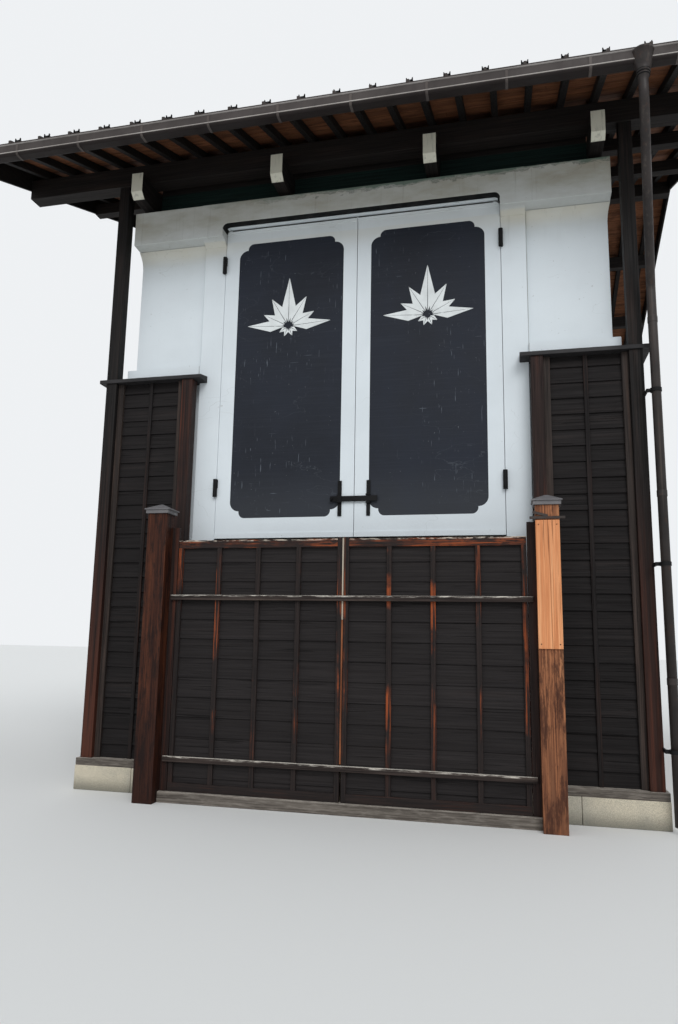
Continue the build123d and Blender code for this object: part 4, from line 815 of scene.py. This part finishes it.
class STOREHOUSE_OT_skirting(bpy.types.Operator):
    """Build the two skirting panels from boards, stiles and rails"""

    bl_idname = "storehouse.skirting"
    bl_label = "Skirting"

    inner = 0.01
    outer = 1.695
    foot = 0.1
    face = -0.455
    board_face = -0.43
    board_back = -0.405
    board_sizes = (0.013, 0.025)
    boards_top = 2.48
    first = 0.23
    bays = 4
    stile = 0.046
    stile_face = -0.453
    stile_back = -0.418
    stile_tops = (2.524, 2.508, 2.508, 2.508, 2.508)
    rail_height = 0.08
    strip_half = 0.007
    strip_face = -0.458
    strips = ((1.96, 2.516), (1.74, 1.915), (0.435, 1.739))

    def execute(self, context):
        settings = context.scene.storehouse_boards
        batten = worn_batten("worn_batten", settings)
        ledge = worn_batten("chipped_ledge", settings, "X", 0.75)
        boards = black_boards(settings, "skirt_boards", settings.skirt_exposure, self.first, 1.55)
        dice = random.Random(23)
        width = self.outer - self.inner
        for side, label, _ in LEAVES:
            bm = bmesh.new()
            start = self.inner if side > 0 else -self.outer
            board_run(bm, (start, self.board_back, 0), X_AXIS, -Y_AXIS, width, self.foot,
                      self.boards_top, self.first, settings.skirt_exposure, self.board_sizes, dice)
            finish_piece(bm, f"{label}_skirt_boards", "black_boards", boards, ease=settings.arris)

            bm = bmesh.new()
            for number, top in enumerate(self.stile_tops):
                near = self.inner + number * (width - self.stile) / self.bays
                bow = dice.uniform(-0.0015, 0.0015)
                block(bm, (side * near, self.stile_face + bow, self.foot),
                      (side * (near + self.stile), self.stile_back, top))
            finish_piece(bm, f"{label}_skirt_stiles", "black_boards", batten, ease=0.003,
                         segments=2, replaces=f"{label}_skirt_panel")

            bm = bmesh.new()
            for low in (SKIRT_TOP - self.rail_height, self.foot):
                block(bm, (side * (self.inner + self.stile), self.face, low),
                      (side * self.outer, self.board_face, low + self.rail_height))
            finish_piece(bm, f"{label}_skirt_ledges", "black_boards", ledge, ease=0.003, segments=2)

        bm = bmesh.new()
        for low, high in self.strips:
            strip = block(bm, (-self.strip_half, self.strip_face, low),
                          (self.strip_half, self.board_back, high))
        for face in {face for vert in strip for face in vert.link_faces}:
            face.material_index = 1
        pale = paint(120, 106, 92), paint(196, 184, 166), paint(232, 222, 206)
        brown = paint(76, 44, 28), paint(138, 80, 50), paint(196, 126, 84)
        finish_piece(bm, "skirt_meeting_strip", "weathered_timber", timber("pale_strip", pale, "Z"),
                     timber("stained_strip", brown, "Z", 0.7), ease=0.002)
        return {"FINISHED"}


class STOREHOUSE_OT_folded_fans(bpy.types.Operator):
    """Set a fan of folded white facets on each black panel"""

    bl_idname = "storehouse.folded_fans"
    bl_label = "Folded fans"

    spread = (4, 28, 59, 90, 121, 152, 176)
    reach = (1.0, 0.66, 0.72, 1.0, 0.72, 0.66, 1.0)
    foot = (-32, -68, -112, -148)
    root_z = 4.915
    centre_x = 0.76
    back_y = 0.004
    crease = 0.0035
    shoulder_share = 0.36
    root_heights = {True: 0.009, False: 0.007}
    tip_height = 0.005
    edge_height = 0.004
    ray_start = 0.05
    ray_half = 0.062
    ray_swell = 0.014
    foot_kite = (0.118, 0.026, 0.03)

    def facet(self, bm, points, heights):
        """One raised facet from three flat points and the heights of their corners."""
        corners = [Vector((x, self.back_y, z)) for x, z in points]
        for vert in prism(bm, corners, (0, 0, 0)):
            nearest = min(range(3), key=lambda n: (vert.co - corners[n]).length)
            vert.co.y -= heights[nearest]

    def kite(self, bm, centre, angle, length, half_width, start):
        """A long kite of two facets that meet at a crease."""
        way = Vector((math.cos(angle), math.sin(angle)))
        across = Vector((-way.y, way.x))
        root, tip = centre + way * start, centre + way * length
        for hand in SIDES:
            shift = across * self.crease * hand
            shoulder = root.lerp(tip, self.shoulder_share) + across * half_width * hand
            heights = self.root_heights[hand * way.x >= 0], self.tip_height, self.edge_height
            self.facet(bm, (root + shift, tip + shift * 0.3, shoulder), heights)

    def execute(self, context):
        settings = context.scene.storehouse_doors
        white = tuple(settings.ornament)
        mix = Recipe("folded_white", white)
        clouds = mix.noise(7, detail=5)
        mix.cover(shaded(white, 0.86), mix.ramp(clouds, (0.35, 0), (0.75, 1)))
        mix.cover(paint(150, 152, 152), mix.patches((0.66, 0), (0.74, 1), 1, (60, 60, 6), 3), 0.4)
        mix.raise_by(clouds, 0.001)
        paper = mix.finish(0.7)
        for side, label, body in LEAVES:
            bm = bmesh.new()
            centre = Vector((side * self.centre_x, self.root_z))
            for degrees, share in zip(self.spread, self.reach):
                angle = math.radians(degrees)
                flat, rise = math.cos(angle), math.sin(angle)
                radius = 1 / math.hypot(flat / settings.fan_reach, rise / settings.fan_height)
                half_width = self.ray_half + self.ray_swell * abs(rise)
                self.kite(bm, centre, angle, share * radius, half_width, self.ray_start)
            for degrees in self.foot:
                self.kite(bm, centre, math.radians(degrees), *self.foot_kite)
            finish_piece(bm, f"{label}_folded_fan", "door_plaster", paper, body=body)
        return {"FINISHED"}


class STOREHOUSE_OT_cornice(bpy.types.Operator):
    """Shape the cornice: a flat face, a shallow underside and a small cove over each side panel"""

    bl_idname = "storehouse.cornice"
    bl_label = "Cornice"

    front = -0.14
    top = 6.385
    arris = 5.99
    end = 2.607
    wall_end = 2.58
    setback = 0.05
    rear = 0.052
    cove_head = 5.972
    cove_foot = 5.79
    jamb_drop = 0.06
    levels = 9

    def middle(self, bm):
        """The stretch over the doorway and jambs, cut out round the door head."""
        left = [(-JAMB_EDGE, self.top), (-JAMB_EDGE, self.arris), (-DOORWAY, self.arris)]
        right = [(-x, z) for x, z in left[::-1]]
        outline = left + head_outline(0) + right
        prism(bm, [(x, self.front, z) for x, z in outline], (0, -self.front, 0))
        low = [v for v in bm.verts if v.co.z < self.arris + 0.001]
        rear = [v for v in low if v.co.y > -0.001]
        bmesh.ops.translate(bm, verts=rear, vec=(0, 0, -self.jamb_drop))
        runs = [e for e in bm.edges if all(v in low for v in e.verts)
                and abs(e.verts[0].co.y - e.verts[1].co.y) > 0.1]
        cut = bmesh.ops.subdivide_edges(bm, edges=runs, cuts=6, use_grid_fill=True)["geom_inner"]
        for vert in set(new_verts(cut)):
            share = 1 - vert.co.y / self.front
            vert.co.z += self.jamb_drop * (share - share ** 2.2)

    def cove(self, bm, side):
        """The small cove over a side panel, carried round the end of the wall."""
        inner, outer = side * (JAMB_EDGE - 0.004), side * self.wall_end
        face = self.setback - 0.0005
        ring = [(inner, face), (outer, face), (outer, self.rear), (inner, self.rear)]
        foot = bm.faces.new([bm.verts.new((x, y, self.cove_foot)) for x, y in ring])
        edges = list(foot.edges)
        reach = 0.0
        for level in range(1, self.levels + 1):
            share = (level / self.levels) ** 1.8
            fresh, edges = grow(bm, edges)
            for vert in fresh:
                vert.co.z += (self.cove_head - self.cove_foot) / self.levels
                if vert.co.y < self.rear - 0.001:
                    vert.co.y -= (share - reach) * self.setback
                if abs(vert.co.x) > 2:
                    vert.co.x += side * (share - reach) * (self.end - self.wall_end)
            reach = share
        bmesh.ops.edgeloop_fill(bm, edges=edges)

    def execute(self, context):
        bm = bmesh.new()
        self.middle(bm)
        for side in SIDES:
            made = block(bm, (side * JAMB_EDGE, self.front, self.arris),
                         (side * self.end, self.rear, self.top))
            rear = [v for v in made if v.co.y > 0 and v.co.z < self.arris + 0.001]
            bmesh.ops.translate(bm, verts=rear, vec=(0, 0, self.cove_head - self.arris))
        bevel_all(bm, context.scene.storehouse_plaster.arris, 3,
                  lambda edge: all(abs(abs(v.co.x) - JAMB_EDGE) < 0.001 for v in edge.verts))
        for side in SIDES:
            self.cove(bm, side)
        finish_piece(bm, "shaped_cornice", "plaster", made_before("lime_plaster"),
                     replaces="cornice_front")
        return {"FINISHED"}


class STOREHOUSE_OT_door_head(bpy.types.Operator):
    """Line the head of the doorway in black as painted shade, and draw a black line of painted
    shade over the leaves
    """

    bl_idname = "storehouse.door_head"
    bl_label = "Door head"

    lip_front = -0.046
    lip_height = 0.014
    lip_start = 0.85
    rim_face = -0.01
    shade_strip_ends = (0.008, 1.45)
    shade_strip_heights = (0.009, 0.001)

    def lining(self, bm, front, rear, upper, lower):
        """A strip along the head between two outlines, from front to rear."""
        prism(bm, [(x, front, z) for x, z in upper + lower[::-1]], (0, rear - front, 0))

    def execute(self, context):
        bm = bmesh.new()
        self.lining(bm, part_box("cornice_front")[0].y + 0.002, -0.001,
                    head_outline(-0.001), head_outline(0.002))
        # Painted shade: the liner is black where the underside of the head lies in shade.
        painted_shade_black = mottled("head_soot", paint(15, 16, 17), paint(34, 34, 34), (0.35, 0), (0.7, 1),
                       (12,), 0.75, specular=0.15)
        finish_piece(bm, "door_head_shade_liner", "black_lacquer", painted_shade_black)

        bm = bmesh.new()
        self.lining(bm, self.lip_front, -0.002, head_outline(0.001, self.lip_start),
                    head_outline(self.lip_height, self.lip_start, self.lip_height - 0.003))
        clean = plaster("clean_plaster", context.scene.storehouse_plaster, 0.0)
        finish_piece(bm, "door_head_lip", "plaster", clean)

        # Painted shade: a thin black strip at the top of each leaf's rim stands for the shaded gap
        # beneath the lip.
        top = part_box("right_door")[1].z
        near, far = self.shade_strip_ends
        low, high = (top - drop for drop in self.shade_strip_heights)
        for side, label, body in LEAVES:
            bm = bmesh.new()
            block(bm, (side * near, self.rim_face - 0.0012, low),
                  (side * far, self.rim_face + 0.001, high))
            finish_piece(bm, f"{label}_head_gap_shade", "black_lacquer", painted_shade_black, body=body, ease=0.0004)
        return {"FINISHED"}


class STOREHOUSE_OT_ironwork(bpy.types.Operator):
    """Add keepers to the bolt, nails to the board and lugs to the plates"""

    bl_idname = "storehouse.ironwork"
    bl_label = "Ironwork"

    bar_height = 0.055
    plate = (0.126, 0.174)
    rivets = (2.83, 3.14)
    keeper_lap = 0.014
    keeper_face = (-0.041, -0.0315)
    nail_inset = (0.025, 0.04)

    def lugs(self, bm, side, front, rear, start, end):
        """Two lugs across a plate, above and below the bar, between two distances from it."""
        near, far = self.plate
        for one, two in ((self.high + start, self.high + end), (self.low - end, self.low - start)):
            block(bm, (side * near, front, one), (side * far, rear, two))

    def rivet(self, bm, side, y):
        for height in self.rivets:
            disc(bm, (side * sum(self.plate) / 2, y, height), 0.009, 0.006, Y_AXIS, 12, 0.006)

    def execute(self, context):
        iron = made_before("forged_iron")
        self.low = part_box("bolt_bar")[0].z
        self.high = self.low + self.bar_height
        near, far = self.plate
        bm = bmesh.new()
        self.lugs(bm, -1, -0.036, -0.015, 0.001, self.keeper_lap)
        front, rear = self.keeper_face
        block(bm, (-far, front, self.low - self.keeper_lap),
              (-near, rear, self.high + self.keeper_lap))
        self.rivet(bm, -1, -0.017)
        finish_piece(bm, "left_bolt_keeper", "black_iron", iron, body=LEFT_LEAF, ease=0.0015)

        bm = bmesh.new()
        self.lugs(bm, 1, -0.034, -0.009, 0.006, 0.02)
        self.rivet(bm, 1, -0.012)
        finish_piece(bm, "right_bolt_lugs", "black_iron", iron, body=RIGHT_LEAF, ease=0.0015)

        bm = bmesh.new()
        low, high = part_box("name_board")
        side, end = self.nail_inset
        for x in (low.x + side, high.x - side):
            for z in (low.z + end, high.z - end):
                disc(bm, (x, low.y - 0.001, z), 0.005, 0.004, Y_AXIS, 10, 0.003)
        finish_piece(bm, "name_board_nails", "black_iron", iron)
        return {"FINISHED"}


class STOREHOUSE_OT_eaves(bpy.types.Operator):
    """Lay the roof boards, paint the beam ends and dress the gutters and snow stops"""

    bl_idname = "storehouse.eaves"
    bl_label = "Eaves"

    half_width = 4.0
    board_start = -1.15
    board_joints = (-1.98, -0.99, 0.0, 0.99, 1.98)
    board_half = 0.009
    rafter_depth = 0.085
    beams = (-2.475, -0.825, 0.825, 2.475)
    beam_half = 0.0665
    beam_coat = (
        (-0.3925, 6.722), (-0.3925, 6.499), (-0.331, 6.4375), (-0.318, 6.4375),
        (-0.318, 6.44), (-0.33, 6.44), (-0.39, 6.5), (-0.39, 6.72),
    )
    beads = ((-1.288, 6.588, 0.009), (-1.167, 6.588, 0.006))
    highlight_line = (-1.2915, 6.5, 0.0045)
    stop_y = -1.06
    stop_inset = 0.035
    stop_pitch = 0.355
    stop_size = (0.034, 0.05, 0.046)
    ear_size = (0.013, 0.014, 0.068)
    ear_place = 0.021
    ear_point = 0.033
    pipe_top = (2.748, -1.2275)
    pipe_foot = (2.889, -0.3)
    pipe_heights = (6.21, 4.875, 0.06)
    pipe_radius = 0.0415
    pipe_sides = 28
    bend = 0.16
    lean = 0.16
    collars = (4.55, 2.9, 1.25)
    collar_height = 0.06
    ring_height = 0.006
    rings = ((6.404, 0.0605), (6.384, 0.0585), (6.364, 0.0555))
    hopper = (
        (6.575, 0.084), (6.571, 0.092), (6.556, 0.092), (6.552, 0.088), (6.49, 0.08), (6.44, 0.068),
        (6.405, 0.056), (6.4, 0.059), (6.392, 0.059), (6.388, 0.053), (6.38, 0.052), (6.376, 0.055),
        (6.368, 0.055), (6.364, 0.049), (6.35, 0.0455), (6.34, 0.0415), (6.31, 0.0415),
    )

    def roof_boards(self, settings, material):
        dice = random.Random(5)
        bm = bmesh.new()
        slope = math.atan(ROOF_SLOPE)
        run = RIDGE_Y - 0.005 - self.board_start
        count = round(run / math.cos(slope) / settings.soffit_board)
        step = run / count
        half = (step / math.cos(slope) - settings.soffit_gap) / 2
        for number in range(count):
            y = self.board_start + (number + 0.5) * step
            middle = rafter_plane(y) + (self.rafter_depth + self.board_half) / math.cos(slope)
            joint = dice.choice(self.board_joints)
            for hand in SIDES:
                place = Matrix.Translation((0, front_or_rear(hand, y), middle))
                turn = place @ Matrix.Rotation(hand * slope, 4, "X")
                for side in SIDES:
                    block(bm, (side * self.half_width, -half, -self.board_half),
                          (joint + side * 0.001, half, self.board_half), turn)
        finish_piece(bm, "sarking_boards", "soffit_timber", material, ease=0.0015,
                     replaces="roof_boards")

    def beam_ends(self, material):
        """A thin coat round the front, the bevel and the underside of each beam end."""
        bm = bmesh.new()
        for middle in self.beams:
            for hand in SIDES:
                x = middle - self.beam_half
                corners = [(x, front_or_rear(hand, y), z) for y, z in self.beam_coat]
                prism(bm, corners, (2 * self.beam_half, 0, 0))
        finish_piece(bm, "painted_beam_ends", "plaster", material)

    def rods(self, name, material, sides, *places):
        """Round bars along the gutters, from their places on the front one and their radii."""
        bm = bmesh.new()
        for hand in SIDES:
            for y, z, radius in places:
                disc(bm, (0, front_or_rear(hand, y), z), radius, 2 * self.half_width, X_AXIS, sides)
        finish_piece(bm, name, "brown_sheet", material)

    def snow_stops(self, iron):
        """Each stop is a low bar with a pointed ear at both ends."""
        half, depth, height = self.stop_size
        ear_half, ear_depth, ear_top = self.ear_size
        bm = bmesh.new()
        low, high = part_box("snow_stops")
        foot = low.z
        count = round((high.x - low.x - 2 * self.stop_inset) / self.stop_pitch) + 1
        for hand in SIDES:
            y = front_or_rear(hand, self.stop_y)
            for number in range(count):
                x = low.x + self.stop_inset + number * self.stop_pitch
                block(bm, (x - half, y, foot), (x + half, y + depth * hand, foot + height))
                for ear in SIDES:
                    middle = x + ear * self.ear_place
                    made = block(bm, (middle - ear_half, y, foot + 0.01),
                                 (middle + ear_half, y + ear_depth * hand, foot + ear_top))
                    tops = [v for v in made if v.co.z > foot + ear_top / 2]
                    point = Matrix.Translation((-x - ear * self.ear_point, 0, 0))
                    bmesh.ops.scale(bm, verts=tops, vec=(0.3, 1, 1), space=point)
        finish_piece(bm, "eared_snow_stops", "black_iron", iron, ease=0.001, replaces="snow_stops")

    def eave_shade_fill(self):
        """Dark boards that carry the infill from the beams up to the rafters, as painted shade in
        the gap above the infill.
        """
        low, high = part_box("eave_infill")
        bm = bmesh.new()
        for hand in SIDES:
            block(bm, (low.x, front_or_rear(hand, low.y), high.z),
                  (high.x, front_or_rear(hand, low.y + 0.025), rafter_plane(low.y) - 0.002))
        dark = made_before("dark_timber_x")
        finish_piece(bm, "eave_shade_fill_boards", "dark_timber", dark, ease=0.002)

    def hopper_centre(self, z):
        """The middle of the leaning hopper at a height."""
        x, y = self.pipe_top
        return Vector((x, y - self.lean * (z - self.hopper[-1][0]), z))

    def downpipe(self, material):
        """A round hopper with three rings, and the pipe back to the corner post and down."""
        stations = [(self.hopper_centre(z), radius) for z, radius in self.hopper]
        bend, knee, foot = self.pipe_heights
        corners = [stations[-1][0], Vector((*self.pipe_top, bend)),
                   Vector((*self.pipe_foot, knee)), Vector((*self.pipe_foot, foot))]
        for before, corner, after in zip(corners, corners[1:], corners[2:]):
            start, end = (before - corner).normalized(), (after - corner).normalized()
            trim = self.bend / math.tan(start.angle(end) / 2)
            one, two = corner + start * trim, corner + end * trim
            for step in range(9):
                share = step / 8
                bent = one.lerp(corner, share).lerp(corner.lerp(two, share), share)
                stations.append((bent, self.pipe_radius))
        stations.append((corners[-1], self.pipe_radius))
        bm = bmesh.new()
        bmesh.ops.create_circle(bm, cap_ends=False, radius=1, segments=self.pipe_sides)
        place, radius = stations[0]
        rim = Matrix.Translation(place) @ Matrix.Scale(radius, 4)
        bmesh.ops.transform(bm, matrix=rim, verts=bm.verts)
        edges = list(bm.edges)
        heading = -Z_AXIS
        for number in range(1, len(stations)):
            (last, size), (place, radius) = stations[number - 1], stations[number]
            fresh, edges = grow(bm, edges)
            ahead = stations[min(number + 1, len(stations) - 1)][0]
            course = (ahead - last).normalized() if number > len(self.hopper) else heading
            turn = heading.rotation_difference(course).to_matrix().to_4x4()
            heading = course
            matrix = (Matrix.Translation(place) @ turn @ Matrix.Scale(radius / size, 4)
                      @ Matrix.Translation(-last))
            bmesh.ops.transform(bm, matrix=matrix, verts=fresh)
        bmesh.ops.holes_fill(bm, edges=bm.edges, sides=0)
        finish_piece(bm, "hopper_and_pipe", "brown_sheet", material, replaces="downpipe",
                     smooth=True)

        bm = bmesh.new()
        for z in self.collars:
            disc(bm, (*self.pipe_foot, z), self.pipe_radius + 0.0035, self.collar_height,
                 sides=self.pipe_sides)
        finish_piece(bm, "pipe_collars", "brown_sheet", material, ease=0.003)

        # Painted shade: the rings take the dark iron colour so that they read as shaded grooves
        # round the hopper.
        bm = bmesh.new()
        for z, radius in self.rings:
            disc(bm, self.hopper_centre(z), radius, self.ring_height, sides=self.pipe_sides)
        finish_piece(bm, "hopper_rings", "brown_sheet", made_before("forged_iron"), ease=0.001)

    def execute(self, context):
        settings = context.scene.storehouse_eaves
        soffit, cream = tuple(settings.soffit), tuple(settings.beam_paint)
        shades = shaded(soffit, 0.5), soffit, shaded(soffit, 1.45)
        boards = timber("sarking", shades, "X", 0.6, 0.75, tone=("Y", 0.168, self.board_start),
                        blotches=0.8)
        self.roof_boards(settings, boards)
        self.beam_ends(mottled("cream_paint", cream, shaded(cream, 0.62), (0.5, 0), (0.75, 0.8),
                               (1, (40, 40, 5), 5), 0.7, relief=0.001))
        # Painted highlight: the beads along the gutter lips are paler than the gutter.
        lip = metal("lip_sheet", paint(142, 137, 134), paint(112, 107, 104), 0.45)
        self.rods("gutter_beads", lip, 12, *self.beads)
        # Painted highlight: a thin bright rod low on each gutter's face.
        bright = metal("worn_sheet", paint(188, 182, 176), paint(150, 143, 138), 0.45)
        self.rods("gutter_highlight_lines", bright, 8, self.highlight_line)
        self.snow_stops(made_before("forged_iron"))
        self.eave_shade_fill()
        self.downpipe(made_before("pipe_sheet"))
        return {"FINISHED"}


class STOREHOUSE_OT_foundation(bpy.types.Operator):
    """Lay the plinth as separate dressed stones"""

    bl_idname = "storehouse.foundation"
    bl_label = "Foundation"

    inner_front = 0.31
    inner_back = 7.49
    inner_side = 2.32
    stone_length = 0.85
    joint_half = 0.0015

    def execute(self, context):
        dice = random.Random(7)
        bm = bmesh.new()
        corner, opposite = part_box("foundation")
        left, right, front, top = corner.x, opposite.x, corner.y, opposite.z
        near, far, side = self.inner_front, self.inner_back, self.inner_side
        runs = (
            ((left, front), (-DOORWAY, near), 0),
            ((DOORWAY, front), (right, near), 0),
            ((left, near), (-side, far), 1),
            ((side, near), (right, far), 1),
            ((left, far), (right, back(front)), 0),
        )
        for low, high, axis in runs:
            length = high[axis] - low[axis]
            count = max(2, round(length / self.stone_length))
            inner = [(n + dice.uniform(-0.12, 0.12)) / count for n in range(1, count)]
            cuts = [0.0, *inner, 1.0]
            for start, end in zip(cuts, cuts[1:]):
                one, two = [*low, 0], [*high, top - dice.uniform(0, 0.002)]
                one[axis] = low[axis] + start * length + self.joint_half
                two[axis] = low[axis] + end * length - self.joint_half
                block(bm, one, two)
        finish_piece(bm, "plinth_stones", "stone", made_before("foundation_stone"), ease=0.007,
                     segments=2, replaces="foundation")
        return {"FINISHED"}


class STOREHOUSE_OT_stage(bpy.types.Operator):
    """Lay a pale floor, set the soft light and place the camera"""

    bl_idname = "storehouse.stage"
    bl_label = "Stage"

    eye = (1.579, -7.316, 1.6)
    yaw = 13.34
    pitch = 9.40
    roll = 0.99
    lens = 26.07
    sensor = 36.0
    sun_from = Vector((0.35, -0.85, 0.62))
    light_colour = (0.92, 0.96, 1.0)
    seen_colour = (0.86, 0.88, 0.9)

    def camera(self, scene):
        yaw, pitch, roll = (math.radians(a) for a in (self.yaw, self.pitch, self.roll))
        level = Vector((math.cos(yaw), math.sin(yaw), 0))
        ahead = Vector((-math.sin(yaw), math.cos(yaw), 0))
        forward = ahead * math.cos(pitch) + Z_AXIS * math.sin(pitch)
        upright = level.cross(forward)
        right = level * math.cos(roll) + upright * math.sin(roll)
        up = upright * math.cos(roll) - level * math.sin(roll)
        data = bpy.data.cameras.new("camera")
        data.sensor_fit = "VERTICAL"
        data.sensor_height = self.sensor
        data.lens = self.lens
        data.clip_end = 200
        camera = bpy.data.objects.new("camera", data)
        turn = Matrix((right, up, -forward)).transposed().to_4x4()
        camera.matrix_world = Matrix.Translation(self.eye) @ turn
        scene.collection.objects.link(camera)
        scene.camera = camera

    def ground(self, scene, colour):
        bm = bmesh.new()
        bmesh.ops.create_grid(bm, x_segments=1, y_segments=1, size=60)
        mesh = bpy.data.meshes.new("stage_floor")
        bm.to_mesh(mesh)
        bm.free()
        mesh.materials.append(Recipe("stage_floor", colour).finish(0.9))
        floor = bpy.data.objects.new("stage_floor", mesh)
        scene.collection.objects.link(floor)

    def light(self, scene, settings):
        """A soft sun, and even light all round that the camera sees as a pale backdrop."""
        sun = bpy.data.lights.new("soft_sun", "SUN")
        sun.energy = settings.sun
        sun.angle = math.radians(30)
        lamp = bpy.data.objects.new("soft_sun", sun)
        lamp.matrix_world = self.sun_from.to_track_quat("Z", "Y").to_matrix().to_4x4()
        scene.collection.objects.link(lamp)

        world = scene.world or bpy.data.worlds.new("studio")
        scene.world = world
        world.use_nodes = True
        world.node_tree.nodes.clear()
        bench = NodeBench(world.node_tree)
        rays = bench.node("ShaderNodeLightPath").outputs
        either = bench.node("ShaderNodeMath", {0: rays["Is Camera Ray"], 1: rays["Is Glossy Ray"]},
                            operation="MAXIMUM").outputs[0]
        glow = {"Color": (*self.light_colour, 1), "Strength": settings.sky}
        light = bench.node("ShaderNodeBackground", glow).outputs[0]
        seen = bench.node("ShaderNodeBackground", {"Color": (*self.seen_colour, 1)}).outputs[0]
        choose = bench.node("ShaderNodeMixShader", {0: either, 1: light, 2: seen}).outputs[0]
        bench.node("ShaderNodeOutputWorld", {"Surface": choose})

    def execute(self, context):
        scene = context.scene
        settings = scene.storehouse_stage
        self.camera(scene)
        self.ground(scene, tuple(settings.floor))
        self.light(scene, settings)
        scene.view_settings.view_transform = "Standard"
        return {"FINISHED"}


class STOREHOUSE_PT_sidebar(bpy.types.Panel):
    """Storehouse pieces and their settings"""

    bl_idname = "STOREHOUSE_PT_sidebar"
    bl_label = "Storehouse"
    bl_space_type = "VIEW_3D"
    bl_region_type = "UI"
    bl_category = "Storehouse"

    def draw(self, context):
        for operator in PIECES:
            self.layout.operator(operator.bl_idname)
        for name, group in SETTINGS.items():
            box = self.layout.box()
            for key in group.__annotations__:
                box.prop(getattr(context.scene, name), key)


SETTINGS = {
    "storehouse_plaster": PlasterSettings,
    "storehouse_boards": BoardSettings,
    "storehouse_doors": DoorSettings,
    "storehouse_eaves": EaveSettings,
    "storehouse_stage": StageSettings,
}
PIECES = (
    STOREHOUSE_OT_frame_finishes,
    STOREHOUSE_OT_weatherboards,
    STOREHOUSE_OT_skirting,
    STOREHOUSE_OT_folded_fans,
    STOREHOUSE_OT_cornice,
    STOREHOUSE_OT_door_head,
    STOREHOUSE_OT_ironwork,
    STOREHOUSE_OT_eaves,
    STOREHOUSE_OT_foundation,
    STOREHOUSE_OT_stage,
)
CLASSES = (*SETTINGS.values(), *PIECES, STOREHOUSE_PT_sidebar)


def register():
    for made in CLASSES:
        bpy.utils.register_class(made)
    for name, group in SETTINGS.items():
        setattr(bpy.types.Scene, name, PointerProperty(type=group))


def unregister():
    for name in SETTINGS:
        delattr(bpy.types.Scene, name)
    for made in reversed(CLASSES):
        bpy.utils.unregister_class(made)


def main():
    register()
    for operator in PIECES:
        group, name = operator.bl_idname.split(".")
        getattr(getattr(bpy.ops, group), name)()


if __name__ == "__main__":
    main()
